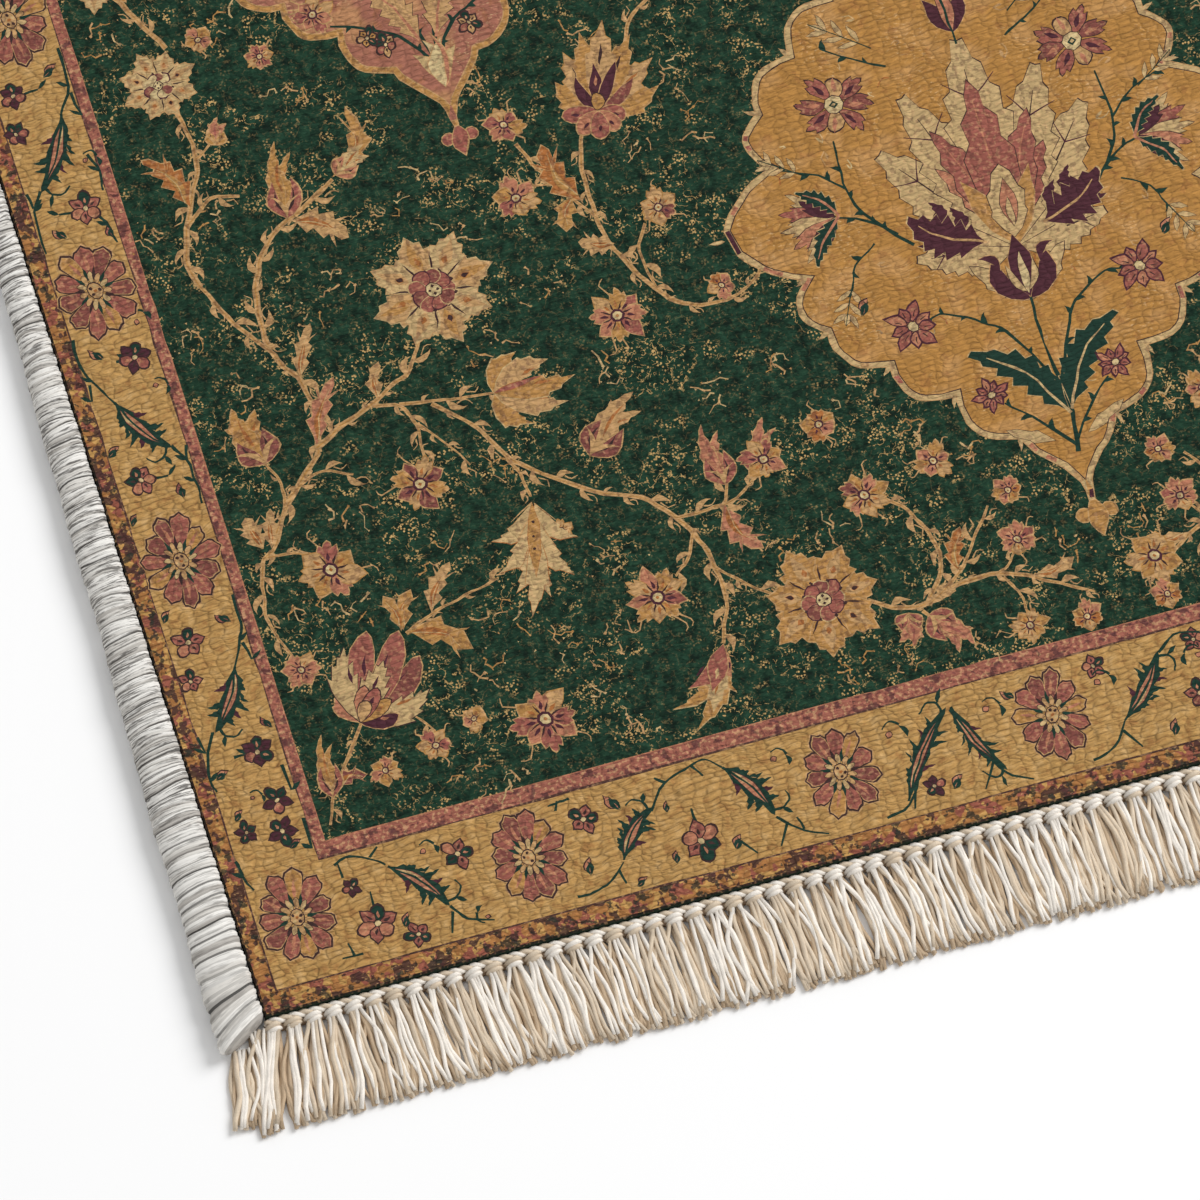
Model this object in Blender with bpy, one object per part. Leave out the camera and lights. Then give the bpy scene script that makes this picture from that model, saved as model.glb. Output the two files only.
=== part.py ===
"""Washable area rug: a flat woven body, a wrapped cord binding along each long side
and a knotted fringe across each end, lying flat.

Metres, +Z up. The origin is on the floor under the middle of the rug; the length runs along Y.
"""
import math
import random

import bmesh
import bpy
from mathutils import Matrix

# The rug itself
BODY_WIDTH = 0.914
BODY_LENGTH = 1.524
BODY_THICKNESS = 0.008
EDGE_ROUNDING = 0.0015
SEAT_GAP = 0.0003

# The binding, a cord wrapped in yarn along each long side, thicker towards the rug's corners
BINDING_WIDTH = 0.0155
BINDING_HEIGHT = 0.0120
BINDING_END_WIDTH = 0.0270
BINDING_END_HEIGHT = 0.0140
BINDING_SIDES = 12
BINDING_SECTIONS = 65
THICKENING_LENGTH = 0.410
WRAP_UNEVENNESS = 0.035

# Its last wraps turn aslant round the corner, so its end is cut aslant too
END_TURN_LENGTH = 0.034
END_TURN_SLOPE = 0.75
END_CAP_SHARE = 0.85

# The fringe: a header of knots with one lock of yarn under each knot
LOCKS_PER_END = 96
HEADER_OVERHANG = 0.0225
HEADER_DEPTH = 0.0072
HEADER_BACK_HEIGHT = 0.0036
LOCK_ROOT_HEIGHT = 0.0034
LOCK_ROOT_SHARE = 0.76
LOCK_LENGTH = 0.0500
LOCK_LENGTH_SPREAD = 0.0030
LOCK_LEAN = 0.085
LOCK_LEAN_DRIFT = 0.030
LOCK_LEAN_JITTER = math.radians(0.8)
CORNER_FAN_LEAN = 0.335
CORNER_FAN_REACH = 0.050

# Each knot is a slanted lump: where its crest stands at the left and the right of a lock,
# as a share of the header's depth, and how high it is there.
KNOT_CREST = (
    {"depth_share": 0.30, "height": 0.0042},
    {"depth_share": 0.58, "height": 0.0060},
)

# A lock from its root to its tip: share of its length, width as a share of the root's, height.
LOCK_SECTIONS = (
    {"along": 0.25, "width_share": 1.07, "height": 0.0046},
    {"along": 0.72, "width_share": 1.00, "height": 0.0034},
    {"along": 1.00, "width_share": 0.70, "height": 0.0020},
)


def clear_scene():
    for old in list(bpy.data.objects):
        bpy.data.objects.remove(old, do_unlink=True)


def yarn_material(name, colour, roughness):
    material = bpy.data.materials.new(name)
    material.use_nodes = True
    shader = material.node_tree.nodes["Principled BSDF"]
    shader.inputs["Base Color"].default_value = (*colour, 1.0)
    shader.inputs["Roughness"].default_value = roughness
    shader.inputs["Metallic"].default_value = 0.0
    material.diffuse_color = (*colour, 1.0)
    return material


def add_object(name, mesh_builder, material):
    """Turn a bmesh into a named object of its own with one material."""
    bmesh.ops.recalc_face_normals(mesh_builder, faces=mesh_builder.faces)
    mesh = bpy.data.meshes.new(name)
    mesh_builder.to_mesh(mesh)
    mesh_builder.free()
    mesh.materials.append(material)
    made = bpy.data.objects.new(name, mesh)
    bpy.context.scene.collection.objects.link(made)
    return made


def turned_copy(source, name):
    """The same piece at the other side of the rug, turned half a turn about the middle."""
    mesh = source.data.copy()
    mesh.name = name
    copy = bpy.data.objects.new(name, mesh)
    copy.matrix_world = Matrix.Rotation(math.pi, 4, "Z")
    bpy.context.scene.collection.objects.link(copy)
    return copy


def smooth_rise(share):
    share = min(max(share, 0.0), 1.0)
    return share * share * (3.0 - 2.0 * share)


def rug_body(material):
    """One flat slab whose upper rim is rounded over."""
    slab = bmesh.new()
    bmesh.ops.create_cube(slab, size=1.0)
    for vertex in slab.verts:
        vertex.co.x *= BODY_WIDTH
        vertex.co.y *= BODY_LENGTH
        vertex.co.z = (vertex.co.z + 0.5) * BODY_THICKNESS
    upper_rim = [edge for edge in slab.edges if all(v.co.z > BODY_THICKNESS / 2 for v in edge.verts)]
    bmesh.ops.bevel(slab, geom=upper_rim, offset=EDGE_ROUNDING, segments=3, profile=0.5, affect="EDGES")
    body = add_object("rug_body", slab, material)
    body.data.shade_smooth()
    body.data.set_sharp_from_angle(angle=math.radians(40))
    return body


def binding_ring(cord, y, width, height, turn):
    """One oval section of the binding: flat on the floor, its inner side against the body.

    Where the wraps turn the corner, the section slopes away from the rug's middle.
    """
    inner_side = -BODY_WIDTH / 2 - SEAT_GAP
    half_step = math.pi / BINDING_SIDES
    ring = []
    for side in range(BINDING_SIDES):
        angle = (2 * side + 1) * half_step
        inward = 0.5 * width * (1.0 + math.cos(angle) / math.cos(half_step))
        outward = width - inward
        up = 0.5 * height * (1.0 + math.sin(angle) / math.cos(half_step))
        along = y + math.copysign(turn * END_TURN_SLOPE * outward, y)
        ring.append(cord.verts.new((inner_side - outward, along, up)))
    return ring


def binding_left(material):
    """The wrapped cord of one side, a little uneven and thicker towards its two ends."""
    cord = bmesh.new()
    rings = []
    half_length = BODY_LENGTH / 2
    for number in range(BINDING_SECTIONS):
        # Sections crowd towards both ends, where the cord thickens and turns.
        even_run = 2.0 * number / (BINDING_SECTIONS - 1) - 1.0
        crowded_run = math.sin(0.5 * math.pi * even_run)
        y = half_length * (0.7 * crowded_run + 0.3 * even_run)
        from_end = half_length - abs(y)
        turn = 1.0 - smooth_rise(from_end / END_TURN_LENGTH)
        thicker = max(0.0, 1.0 - from_end / THICKENING_LENGTH)
        wave = math.sin(y * 61.0) * math.sin(y * 23.0 + 1.3) * WRAP_UNEVENNESS
        width = BINDING_WIDTH + (BINDING_END_WIDTH - BINDING_WIDTH) * thicker
        height = BINDING_HEIGHT + (BINDING_END_HEIGHT - BINDING_HEIGHT) * thicker
        width *= 1.0 + wave
        height *= 1.0 + 0.5 * wave
        if number in (0, BINDING_SECTIONS - 1):
            width *= END_CAP_SHARE
            height *= END_CAP_SHARE
        rings.append(binding_ring(cord, y, width, height, turn))
    for ring, following in zip(rings, rings[1:]):
        for side in range(BINDING_SIDES):
            beside = (side + 1) % BINDING_SIDES
            cord.faces.new((ring[side], ring[beside], following[beside], following[side]))
    cord.faces.new(rings[0])
    cord.faces.new(list(reversed(rings[-1])))
    made = add_object("binding_left", cord, material)
    made.data.shade_smooth()
    made.data.set_sharp_from_angle(angle=math.radians(50))
    return made


def fringe_lean(x):
    """How far the locks lean sideways: a slow drift along the end, fanning out at its corners."""
    reach = BODY_WIDTH / 2 + HEADER_OVERHANG
    left_fan = math.exp(-(((x + reach) / CORNER_FAN_REACH) ** 2))
    right_fan = math.exp(-(((x - reach) / CORNER_FAN_REACH) ** 2))
    drift = LOCK_LEAN_DRIFT * math.sin(31.0 * x)
    even_lean = LOCK_LEAN * (1.0 - left_fan - right_fan)
    return even_lean + drift + CORNER_FAN_LEAN * (right_fan - left_fan)


def corner_drop(x):
    """How far the header stands off the rug's end where it follows the aslant end of a binding."""
    past_body = abs(x) - BODY_WIDTH / 2
    return END_TURN_SLOPE * max(0.0, past_body + SEAT_GAP)


def fringe_south(material):
    """A header strip of knots with a four-sided lock of yarn growing out under each knot."""
    strip = bmesh.new()
    chance = random.Random(11)
    rug_end = -BODY_LENGTH / 2 - SEAT_GAP
    reach = BODY_WIDTH / 2 + HEADER_OVERHANG
    pitch = 2.0 * reach / LOCKS_PER_END
    root_width = LOCK_ROOT_SHARE * pitch

    def header_section(x, crest):
        outline = (
            (0.0, 0.0),
            (0.0, HEADER_BACK_HEIGHT),
            (crest["depth_share"] * HEADER_DEPTH, crest["height"]),
            (HEADER_DEPTH, LOCK_ROOT_HEIGHT),
            (HEADER_DEPTH, 0.0),
        )
        back = rug_end - corner_drop(x)
        return [strip.verts.new((x, back - out, up)) for out, up in outline]

    def close_span(before, after, open_front):
        for corner in range(5):
            if open_front and corner == 3:
                continue
            beside = (corner + 1) % 5
            strip.faces.new((before[corner], before[beside], after[beside], after[corner]))

    def grow_lock(x, before, after):
        # The root is the open quad of the header's front: upper and lower corner at either side.
        ring = [before[3], after[3], after[4], before[4]]
        root = rug_end - corner_drop(x) - HEADER_DEPTH
        length = LOCK_LENGTH - corner_drop(x) + chance.uniform(-1.0, 1.0) * LOCK_LENGTH_SPREAD
        lean = fringe_lean(x) + chance.uniform(-1.0, 1.0) * LOCK_LEAN_JITTER
        for section in LOCK_SECTIONS:
            out = section["along"] * length
            middle = x + math.tan(lean) * out
            half = 0.5 * root_width * section["width_share"]
            corners = (
                (middle - half, root - out, section["height"]),
                (middle + half, root - out, section["height"]),
                (middle + half, root - out, 0.0),
                (middle - half, root - out, 0.0),
            )
            following = [strip.verts.new(corner) for corner in corners]
            for side in range(4):
                beside = (side + 1) % 4
                strip.faces.new((ring[side], ring[beside], following[beside], following[side]))
            ring = following
        strip.faces.new(ring)

    last = None
    for number in range(LOCKS_PER_END):
        x = -reach + (number + 0.5) * pitch
        before = header_section(x - root_width / 2, KNOT_CREST[0])
        after = header_section(x + root_width / 2, KNOT_CREST[1])
        if last is None:
            strip.faces.new(list(reversed(before)))
        else:
            close_span(last, before, open_front=False)
        close_span(before, after, open_front=True)
        grow_lock(x, before, after)
        last = after
    strip.faces.new(last)
    return add_object("fringe_south", strip, material)


def main():
    clear_scene()
    woven = yarn_material("woven_cloth", (0.12, 0.14, 0.07), 0.95)
    wrapped = yarn_material("binding_yarn", (0.62, 0.61, 0.60), 0.85)
    knotted = yarn_material("fringe_yarn", (0.72, 0.65, 0.54), 0.85)
    rug_body(woven)
    turned_copy(binding_left(wrapped), "binding_right")
    turned_copy(fringe_south(knotted), "fringe_north")


main()
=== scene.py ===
"""A flat-woven washable area rug with overcast sides and a knotted fringe at each end."""

import math
import random
from collections import namedtuple

import bmesh
import bpy
import numpy as np
from mathutils import Matrix, Vector
from mathutils.geometry import delaunay_2d_cdt


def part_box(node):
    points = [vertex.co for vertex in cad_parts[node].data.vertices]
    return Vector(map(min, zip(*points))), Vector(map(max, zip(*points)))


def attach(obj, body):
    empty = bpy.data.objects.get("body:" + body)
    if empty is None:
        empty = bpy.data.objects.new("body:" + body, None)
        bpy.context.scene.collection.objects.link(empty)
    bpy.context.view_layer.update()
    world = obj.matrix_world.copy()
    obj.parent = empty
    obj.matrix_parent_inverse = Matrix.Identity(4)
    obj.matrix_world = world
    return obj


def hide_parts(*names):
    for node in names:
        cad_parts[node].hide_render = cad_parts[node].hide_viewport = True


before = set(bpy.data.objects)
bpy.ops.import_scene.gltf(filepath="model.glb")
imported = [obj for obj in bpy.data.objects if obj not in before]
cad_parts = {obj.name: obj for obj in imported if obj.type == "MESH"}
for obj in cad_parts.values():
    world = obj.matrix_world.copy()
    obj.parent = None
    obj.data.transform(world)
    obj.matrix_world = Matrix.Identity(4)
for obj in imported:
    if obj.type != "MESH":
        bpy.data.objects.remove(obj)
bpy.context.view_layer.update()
MM = 0.001
FULL_TURN = 2 * math.pi

# ---- the rug's own sizes

BODY_LOW, BODY_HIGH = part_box("rug_body")
HALF_WIDTH = (BODY_HIGH[0] - BODY_LOW[0]) / 2 / MM
HALF_LENGTH = (BODY_HIGH[1] - BODY_LOW[1]) / 2 / MM
FACE_TOP = BODY_HIGH[2] / MM

FACE_STRIPS = 10
FACE_DEPTH = 1.6
EDGE_DROP = 0.8
EDGE_ROUNDING = 1.5
BAKE_TILES = 4
MERGE_ANGLE = 6


def table(columns, *rows):
    """Rows of named values, one row for each motif or size."""
    row_type = namedtuple("Row", columns)
    return [row_type(*row) for row in rows]


def smooth_step(t):
    t = np.clip(t, 0, 1)
    return t * t * (3 - 2 * t)


# ---- yarn colours

# Grounds tell the cloth how its colour wears and how deep its painted crevice shade is: see the woven face's
# finish.
PLAIN, STRIPE_GROUND, OCHRE_GROUND, DARK = 0, 0.12, 0.25, 0.38
MEDALLION_GROUND, BAND_GROUND, GREEN_GROUND = 0.5, 0.75, 1

YARNS = table(
    "name red green blue ground",
    ("green field", 12, 38, 26, GREEN_GROUND), ("ochre", 174, 135, 80, OCHRE_GROUND),
    ("gold", 166, 120, 62, MEDALLION_GROUND), ("old rose", 152, 98, 80, MEDALLION_GROUND),
    ("mottled gold", 158, 108, 62, BAND_GROUND), ("rose stripe", 150, 92, 76, STRIPE_GROUND),
    # Painted gap shade: the near-black colour on the next line fills the face's outer rim and hidden walls,
    # beside the binding and the header.
    ("near black", 34, 31, 25, PLAIN), ("end green", 26, 40, 30, PLAIN), ("line brown", 74, 50, 44, PLAIN),
    ("umber", 58, 40, 38, DARK), ("wine", 72, 38, 46, DARK), ("brick", 122, 70, 62, PLAIN),
    ("rose", 144, 84, 72, PLAIN), ("salmon", 168, 110, 84, PLAIN), ("honey", 168, 124, 70, PLAIN),
    ("tan", 178, 140, 94, PLAIN), ("cream", 182, 154, 108, PLAIN), ("ivory", 194, 172, 126, PLAIN),
    ("leaf", 26, 52, 42, DARK), ("rust", 156, 98, 52, PLAIN),
)
YARN_INDEX = {yarn.name: index for index, yarn in enumerate(YARNS)}


def linear(value):
    """A screen value from 0 to 255 as linear light."""
    share = value / 255
    return share / 12.92 if share <= 0.04045 else ((share + 0.055) / 1.055) ** 2.4


def linear_colour(red, green, blue):
    return (linear(red), linear(green), linear(blue), 1)


# ---- drawing shapes


def smooth_route(points, steps=5):
    """A smooth line through the points, as a Catmull-Rom curve."""
    points = np.asarray(points, float)
    if len(points) == 2:
        return np.linspace(points[0], points[1], 3)
    ends = np.vstack([2 * points[0] - points[1], points, 2 * points[-1] - points[-2]])
    share = np.linspace(0, 1, steps, endpoint=False)[:, None]
    pieces = []
    for before, start, stop, after in zip(ends, ends[1:], ends[2:], ends[3:]):
        pieces.append(0.5 * (2 * start + (stop - before) * share
                             + (2 * before - 5 * start + 4 * stop - after) * share ** 2
                             + (3 * start - before - 3 * stop + after) * share ** 3))
    return np.vstack(pieces + [points[-1:]])


def unit(steps):
    return steps / np.maximum(np.linalg.norm(steps, axis=1, keepdims=True), 1e-9)


def stroke_outline(route, width, end_width):
    """A line with a width that changes evenly from one end to the other."""
    along = unit(np.gradient(route, axis=0))
    across = np.stack([-along[:, 1], along[:, 0]], axis=1)
    half = np.linspace(width, end_width, len(route))[:, None] / 2
    return np.vstack([route + across * half, (route - across * half)[::-1]])


# Silhouettes of a petal: how wide it is, as a share of its half width, along its length.
SILHOUETTES = {
    "round": ((0.08, 0.4), (0.26, 0.78), (0.52, 1), (0.78, 0.88), (0.93, 0.5)),
    "blunt": ((0.1, 0.42), (0.3, 0.74), (0.52, 0.92), (0.74, 1.04), (0.86, 0.86), (0.9, 0.52)),
    "pointed": ((0.12, 0.44), (0.3, 0.86), (0.48, 1), (0.66, 0.84), (0.83, 0.44)),
    "ragged": ((0.16, 0.46), (0.4, 0.86), (0.58, 1), (0.82, 0.82), (0.74, 0.44), (0.9, 0.3)),
    "leafy": ((0.14, 0.5), (0.36, 0.94), (0.5, 0.98), (0.63, 1.1), (0.65, 0.72), (0.8, 0.66), (0.83, 0.36)),
    "crown": ((0.16, 0.42), (0.38, 0.84), (0.47, 0.92), (0.63, 1.14), (0.6, 0.8), (0.79, 0.82),
              (0.75, 0.48), (0.9, 0.42), (0.88, 0.22)),
    "flame": ((0.1, 0.5), (0.28, 0.94), (0.48, 1.04), (0.58, 0.66), (0.72, 0.74), (0.8, 0.36), (0.9, 0.3)),
    "lance": ((0.16, 0.62), (0.36, 1), (0.6, 0.74), (0.82, 0.34)),
}


def petal_outline(base, tip, width, form="pointed", bend=0, teeth=0, tooth=0.2, inset=0):
    """A petal or a leaf from its base to its tip, bent sideways and toothed if asked."""
    base, tip = np.asarray(base, float), np.asarray(tip, float)
    axis = tip - base
    length = max(float(np.hypot(*axis)), 0.1)
    axis = axis / length
    side = np.array([-axis[1], axis[0]])
    if inset:
        trim = min(inset, length * 0.2)
        base = base + axis * trim
        tip = tip - axis * trim * 1.6
        width = max(width - 2 * inset, width * 0.3)
    length = float(np.dot(tip - base, axis))
    if teeth:
        places = np.arange(teeth) / (teeth + 0.6) + 0.12
        share = np.stack([places, places + 0.76 / (teeth + 0.6)], axis=1).ravel()
        swing = np.tile([1 - tooth, 1 + tooth], teeth)
        swell = np.sin(math.pi * np.clip(share, 0, 0.97) ** 0.95) ** 0.75 * swing
    else:
        share, swell = np.array(SILHOUETTES[form]).T
    spine = base + np.outer(share * length, axis)
    spine += np.outer(4 * share * (1 - share) * bend * length, side)
    offset = np.outer(width / 2 * swell, side)
    return np.vstack([[base], spine + offset, [tip], (spine - offset)[::-1]])


def disc_outline(centre, radius, stretch=1, corners=9, turn=0):
    angle = np.arange(corners) * 2 * math.pi / corners + turn
    around = np.stack([np.cos(angle), np.sin(angle) * stretch], axis=1)
    return np.asarray(centre, float) + radius * around


def inset_outline(points, distance):
    """The outline moved inwards; a negative distance moves it out."""
    beyond = np.roll(points, -1, axis=0)
    turned = unit(points - np.roll(points, 1, axis=0)) + unit(beyond - points)
    inward = np.stack([-turned[:, 1], turned[:, 0]], axis=1)
    size = np.maximum(np.linalg.norm(inward, axis=1, keepdims=True), 0.45)
    area = np.sum(points[:, 0] * beyond[:, 1] - beyond[:, 0] * points[:, 1])
    return points + inward / size * (2 / size).clip(1, 2.2) * distance * np.sign(area)


class Cartoon:
    """The weaver's drawing: flat patches of yarn, each laid over those before it."""

    def __init__(self, seed):
        self.patches = []
        self.chance = random.Random(seed)

    def patch(self, points, yarn):
        self.patches.append((np.asarray(points, float), YARN_INDEX[yarn]))

    def stroke(self, points, yarn, width, end_width, steps=4):
        self.patch(stroke_outline(smooth_route(points, steps), width, end_width), yarn)

    def petal(self, base, tip, width, fill, edge="tan", line=0.5, **form):
        """A petal of one yarn inside a thin edge of another."""
        self.patch(petal_outline(base, tip, width, **form), edge)
        self.patch(petal_outline(base, tip, width, inset=line, **form), fill)

    def mark(self, base, tip, width, yarn, form="lance", bend=0):
        """A petal without an edge."""
        self.patch(petal_outline(base, tip, width, form, bend), yarn)

    def disc(self, centre, radius, fill, edge=None, line=0.5, stretch=1, corners=8):
        if edge:
            self.patch(disc_outline(centre, radius, stretch, corners), edge)
            radius -= line
        self.patch(disc_outline(centre, radius, stretch, corners), fill)

    def copy_from(self, other, placed):
        """Lay another drawing's patches, each point moved by the placing function."""
        self.patches += [(placed(points), yarn) for points, yarn in other.patches]


def toward(centre, angle, distance, stretch=1):
    return (centre[0] + distance * math.cos(angle), centre[1] + distance * math.sin(angle) * stretch)


class Bloom:
    """Rays round a flower's middle: a place is an angle and a share of the flower's radius."""

    def __init__(self, art, centre, radius, stretch=1):
        self.art, self.centre, self.radius, self.stretch = art, centre, radius, stretch

    def at(self, angle, share):
        return toward(self.centre, angle, self.radius * share, self.stretch)

    def petal(self, angle, near, far, width, *yarns, **form):
        self.art.petal(self.at(angle, near), self.at(angle, far), self.radius * width, *yarns, **form)

    def mark(self, angle, near, far, width, yarn, **form):
        self.art.mark(self.at(angle, near), self.at(angle, far), self.radius * width, yarn, **form)


class Sprig:
    """Places on a leaf or stem: a share of the way to its tip, and a distance to the left."""

    def __init__(self, base, tip):
        self.base, self.tip = np.asarray(base, float), np.asarray(tip, float)
        self.axis = self.tip - self.base
        self.length = float(np.hypot(*self.axis))
        self.side = np.array([-self.axis[1], self.axis[0]]) / self.length

    def at(self, share, out=0):
        return self.base + self.axis * share + self.side * out


# ---- motifs on the green field

THORN_SPACING = 12
TANGLE_THREADS = 5


def star_flower(art, centre, radius, petals=6, fills=("rose", "honey"), turn=0.4):
    """An open flower: pointed petals of two colours round a ringed core, with stray threads."""
    chance, bloom = art.chance, Bloom(art, centre, radius)
    step = FULL_TURN / petals
    for _ in range(1 if radius < 8.2 else 3):
        angle = chance.uniform(0, 6.28)
        art.stroke([bloom.at(angle, 0.7), bloom.at(angle + 0.25, 1.3), bloom.at(angle + 0.1, 1.5)],
                   "tan", 0.9, 0.4, 2)
    for index in range(petals):
        angle = turn + index * step
        reach = chance.uniform(0.9, 1.24)
        own = fills[index % len(fills)]
        fill = chance.choice((own, own, "salmon", "tan"))
        bloom.petal(angle, 0.1, reach, 5.2 / petals, fill, "honey" if fill == "tan" else "tan", 0.55,
                    form="ragged" if index % 2 else "pointed", bend=chance.uniform(-0.12, 0.12))
        bloom.mark(angle, 0.3, 0.62, 0.12, "rust" if fill in ("honey", "tan") else "wine")
    for index in range(petals):
        bloom.mark(turn + (index + 0.5) * step, 0.2, 0.6, 0.07, "umber")
    art.disc(centre, radius * 0.26, "ivory", "wine", 0.09 * radius)
    art.disc(centre, radius * 0.07, "rust", corners=4)


def serrated_flower(art, centre, radius, petals, fills, turn, heart):
    """A large flower: broad petals with toothed ends round a ring parted by light lines."""
    chance, bloom = art.chance, Bloom(art, centre, radius)
    step = FULL_TURN / petals
    reaches = [chance.uniform(1, 1.16) for _ in range(petals)]
    for index in (*range(0, petals, 2), *range(1, petals, 2)):
        angle, fill = turn + index * step, fills[index % len(fills)]
        edge, vein = ("cream", "honey") if fill == "tan" else ("tan", "tan")
        bend, reach = chance.uniform(-0.06, 0.06), reaches[index]
        bloom.petal(angle, 0.14, reach, 4.9 / petals, fill, edge, 0.6, form="leafy", bend=bend)
        bloom.mark(angle, 0.4, reach * 0.9, 1.7 / petals, vein, bend=bend)
    for index in range(petals):
        bloom.mark(turn + (index + 0.5) * step, 0.35, 0.72, 0.04, "umber")
        bloom.petal(turn + index * step, 0.52, 0.68, 0.11, "rust" if index % 3 else "umber", "rust", 0.3,
                    form="lance")
    ring = petals + 1
    for index in range(ring):
        angle = index * FULL_TURN / ring
        bloom.petal(angle, 0.1, chance.uniform(0.38, 0.46), 0.32, "brick" if index % 3 == 2 else heart,
                    "wine" if index % 2 else "cream", 0.45, form="round")
        art.disc(bloom.at(angle + 0.35, 0.37), radius * 0.04, "umber", corners=4)
    art.disc(centre, radius * 0.15, "ivory", "umber")
    for index in range(4):
        art.disc(bloom.at(index * 1.57, 0.07), 0.028 * radius + 0.15, "umber", corners=4)


def bud(art, base, tip, width, lower, upper):
    """A closed flower: flame-like upper petals rising out of two rounded ones."""
    stem = Sprig(base, tip)
    vein = "rose" if upper == "salmon" else "rust"
    for shift, reach, bend in ((-0.46, 0.84, 0.14), (0.46, 0.76, -0.14), (0.06, 1, 0.08)):
        out = width * shift
        art.petal(stem.at(0.1), stem.at(reach, out), width * 0.6, upper, form="flame", bend=bend)
        art.mark(stem.at(0.3), stem.at(reach * 0.8, out * 0.7), width * 0.12, vein, bend=bend)
    for shift, reach, bend in ((-0.36, 0.54, -0.16), (0.36, 0.5, 0.16)):
        out = width * shift
        art.petal(stem.base, stem.at(reach, out), width * 0.52, lower, form="pointed", bend=bend)
        art.mark(stem.at(0.08), stem.at(reach * 0.8, out * 0.8), width * 0.12, "umber", bend=bend)
    for hand in (-1, 1):
        art.mark(stem.base, stem.at(0.3, width * 0.6 * hand), width * 0.16, "tan", bend=-0.2 * hand)


def gold_leaf(art, base, tip, width, fill, bend, teeth):
    """A toothed leaf with a darker middle, a light vein and two hooked lobes."""
    leaf = Sprig(base, tip)
    swell = leaf.length * bend
    art.petal(base, tip, width, fill, "tan", 0.45, bend=bend, teeth=teeth, tooth=0.34)
    art.mark(leaf.at(0.08), leaf.at(0.7, swell * 0.6), width * 0.34, "honey" if fill == "rust" else "rust",
             "pointed", bend)
    art.stroke([leaf.at(0.1), leaf.at(0.5, swell * 0.9), leaf.at(0.82)], "cream", 0.6, 0.25)
    for hand in (-1, 1):
        tip_of_lobe = leaf.at(0.86, swell * 0.5 + width * 0.72 * hand)
        art.petal(leaf.at(0.6, swell * 0.9), tip_of_lobe, width * 0.16, fill, "tan", 0.3, form="lance")


def thorn(art, start, angle, length, hand):
    """A small hooked leaf on a vine, with a fine whisker if it is long."""
    art.mark(start, toward(start, angle, length), length * 0.34, "tan", bend=0.2 * hand)
    if length > 6:
        middle = toward(start, angle, length * 0.5)
        art.stroke([middle, toward(middle, angle - hand * 0.7, length * 0.4),
                    toward(middle, angle - hand * 0.2, length * 0.66)], "tan", 0.8, 0.4, 2)


def vine(art, points, width, end_width):
    """A climbing stem with a hooked leaf on each side in turn."""
    chance = art.chance
    route = smooth_route(points)
    art.patch(stroke_outline(route, width, end_width), "tan")
    art.patch(stroke_outline(route, width * 0.3, end_width * 0.26), "honey")
    travelled = 0
    hand = chance.choice((-1, 1))
    for start, stop in zip(route, route[1:]):
        travelled += float(np.hypot(*(stop - start)))
        if travelled < THORN_SPACING:
            continue
        travelled = chance.uniform(0, THORN_SPACING * 0.4)
        heading = math.atan2(*(stop - start)[::-1])
        thorn(art, start, heading + hand * chance.uniform(0.35, 0.7), chance.uniform(5, 11.5), hand)
        hand = -hand


def palmette(art, base, tip, width):
    """A fanned blossom of toothed petals in three rows."""
    stem = Sprig(base, tip)
    heading = math.atan2(*stem.axis[::-1])
    spread = width / stem.length

    def ray(swing, share):
        return toward(stem.base, heading + swing * spread, stem.length * share)

    for turn, reach, fill in ((-1, 0.66, "cream"), (1, 0.68, "cream"), (-0.66, 0.86, "brick"),
                              (0.62, 0.82, "cream"), (-0.3, 0.98, "brick"), (0.28, 0.9, "brick"),
                              (0, 0.74, "cream")):
        inner = fill == "brick"
        art.petal(stem.base, ray(turn * 0.95, reach), width * (0.38 if inner else 0.4), fill,
                  "tan" if inner else "umber", 0.45, form="blunt" if inner else "leafy", bend=-0.08 * turn)
        art.mark(ray(turn * 0.9, reach * 0.5), ray(turn * 0.92, reach * 0.74), 1.8, "wine", "pointed")
        art.stroke([ray(turn * 0.95, reach * 0.7), ray(turn * 0.95, reach * 0.86)], "salmon", 0.6, 0.3, 2)
    for turn in (-1.25, 1.2):
        art.petal(stem.base, ray(turn, 0.42), width * 0.2, "wine", "tan", 0.4)
    for turn in (-0.5, 0.5, 0):
        art.petal(stem.base, ray(turn, 0.4), width * 0.2, "salmon", "umber", 0.35, form="round")


def petal_spread(art, base, petals):
    """Petals of several kinds fanned out from one foot, drawn in the order of their table."""
    for one in petals:
        stem = Sprig(base, (one.tip_u, one.tip_v))
        art.petal(base, stem.tip, one.width, one.yarn, one.edge, 0.45, form=one.form, bend=one.bend)
        if one.mark:
            art.mark(stem.at(0.5), stem.at(0.74), 1.8, one.mark)


CORNER_BLOSSOM = table(
    "tip_u tip_v width form bend yarn edge mark",
    (103, 179, 14, "round", 0.05, "rose", "tan", "wine"),
    (124, 159, 13, "round", -0.1, "brick", "tan", "wine"),
    (118, 175, 14, "round", -0.05, "rose", "tan", "wine"),
    (82, 155, 8, "leafy", 0.2, "salmon", "tan", "wine"),
    (90, 174, 14, "crown", 0.1, "cream", "umber", "wine"),
    (124, 141, 14, "crown", -0.12, "cream", "umber", "rust"),
    (107, 162, 14, "crown", 0, "cream", "umber", "wine"), (94, 152, 8, "round", 0, "salmon", "umber", ""),
    (106, 132, 8, "round", -0.1, "wine", "tan", "salmon"),
    (104, 141, 8, "round", 0, "honey", "umber", "rust"), (100, 149, 8, "round", 0, "rose", "umber", "wine"),
    (93, 144, 7, "round", 0, "tan", "umber", ""),
)
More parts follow.
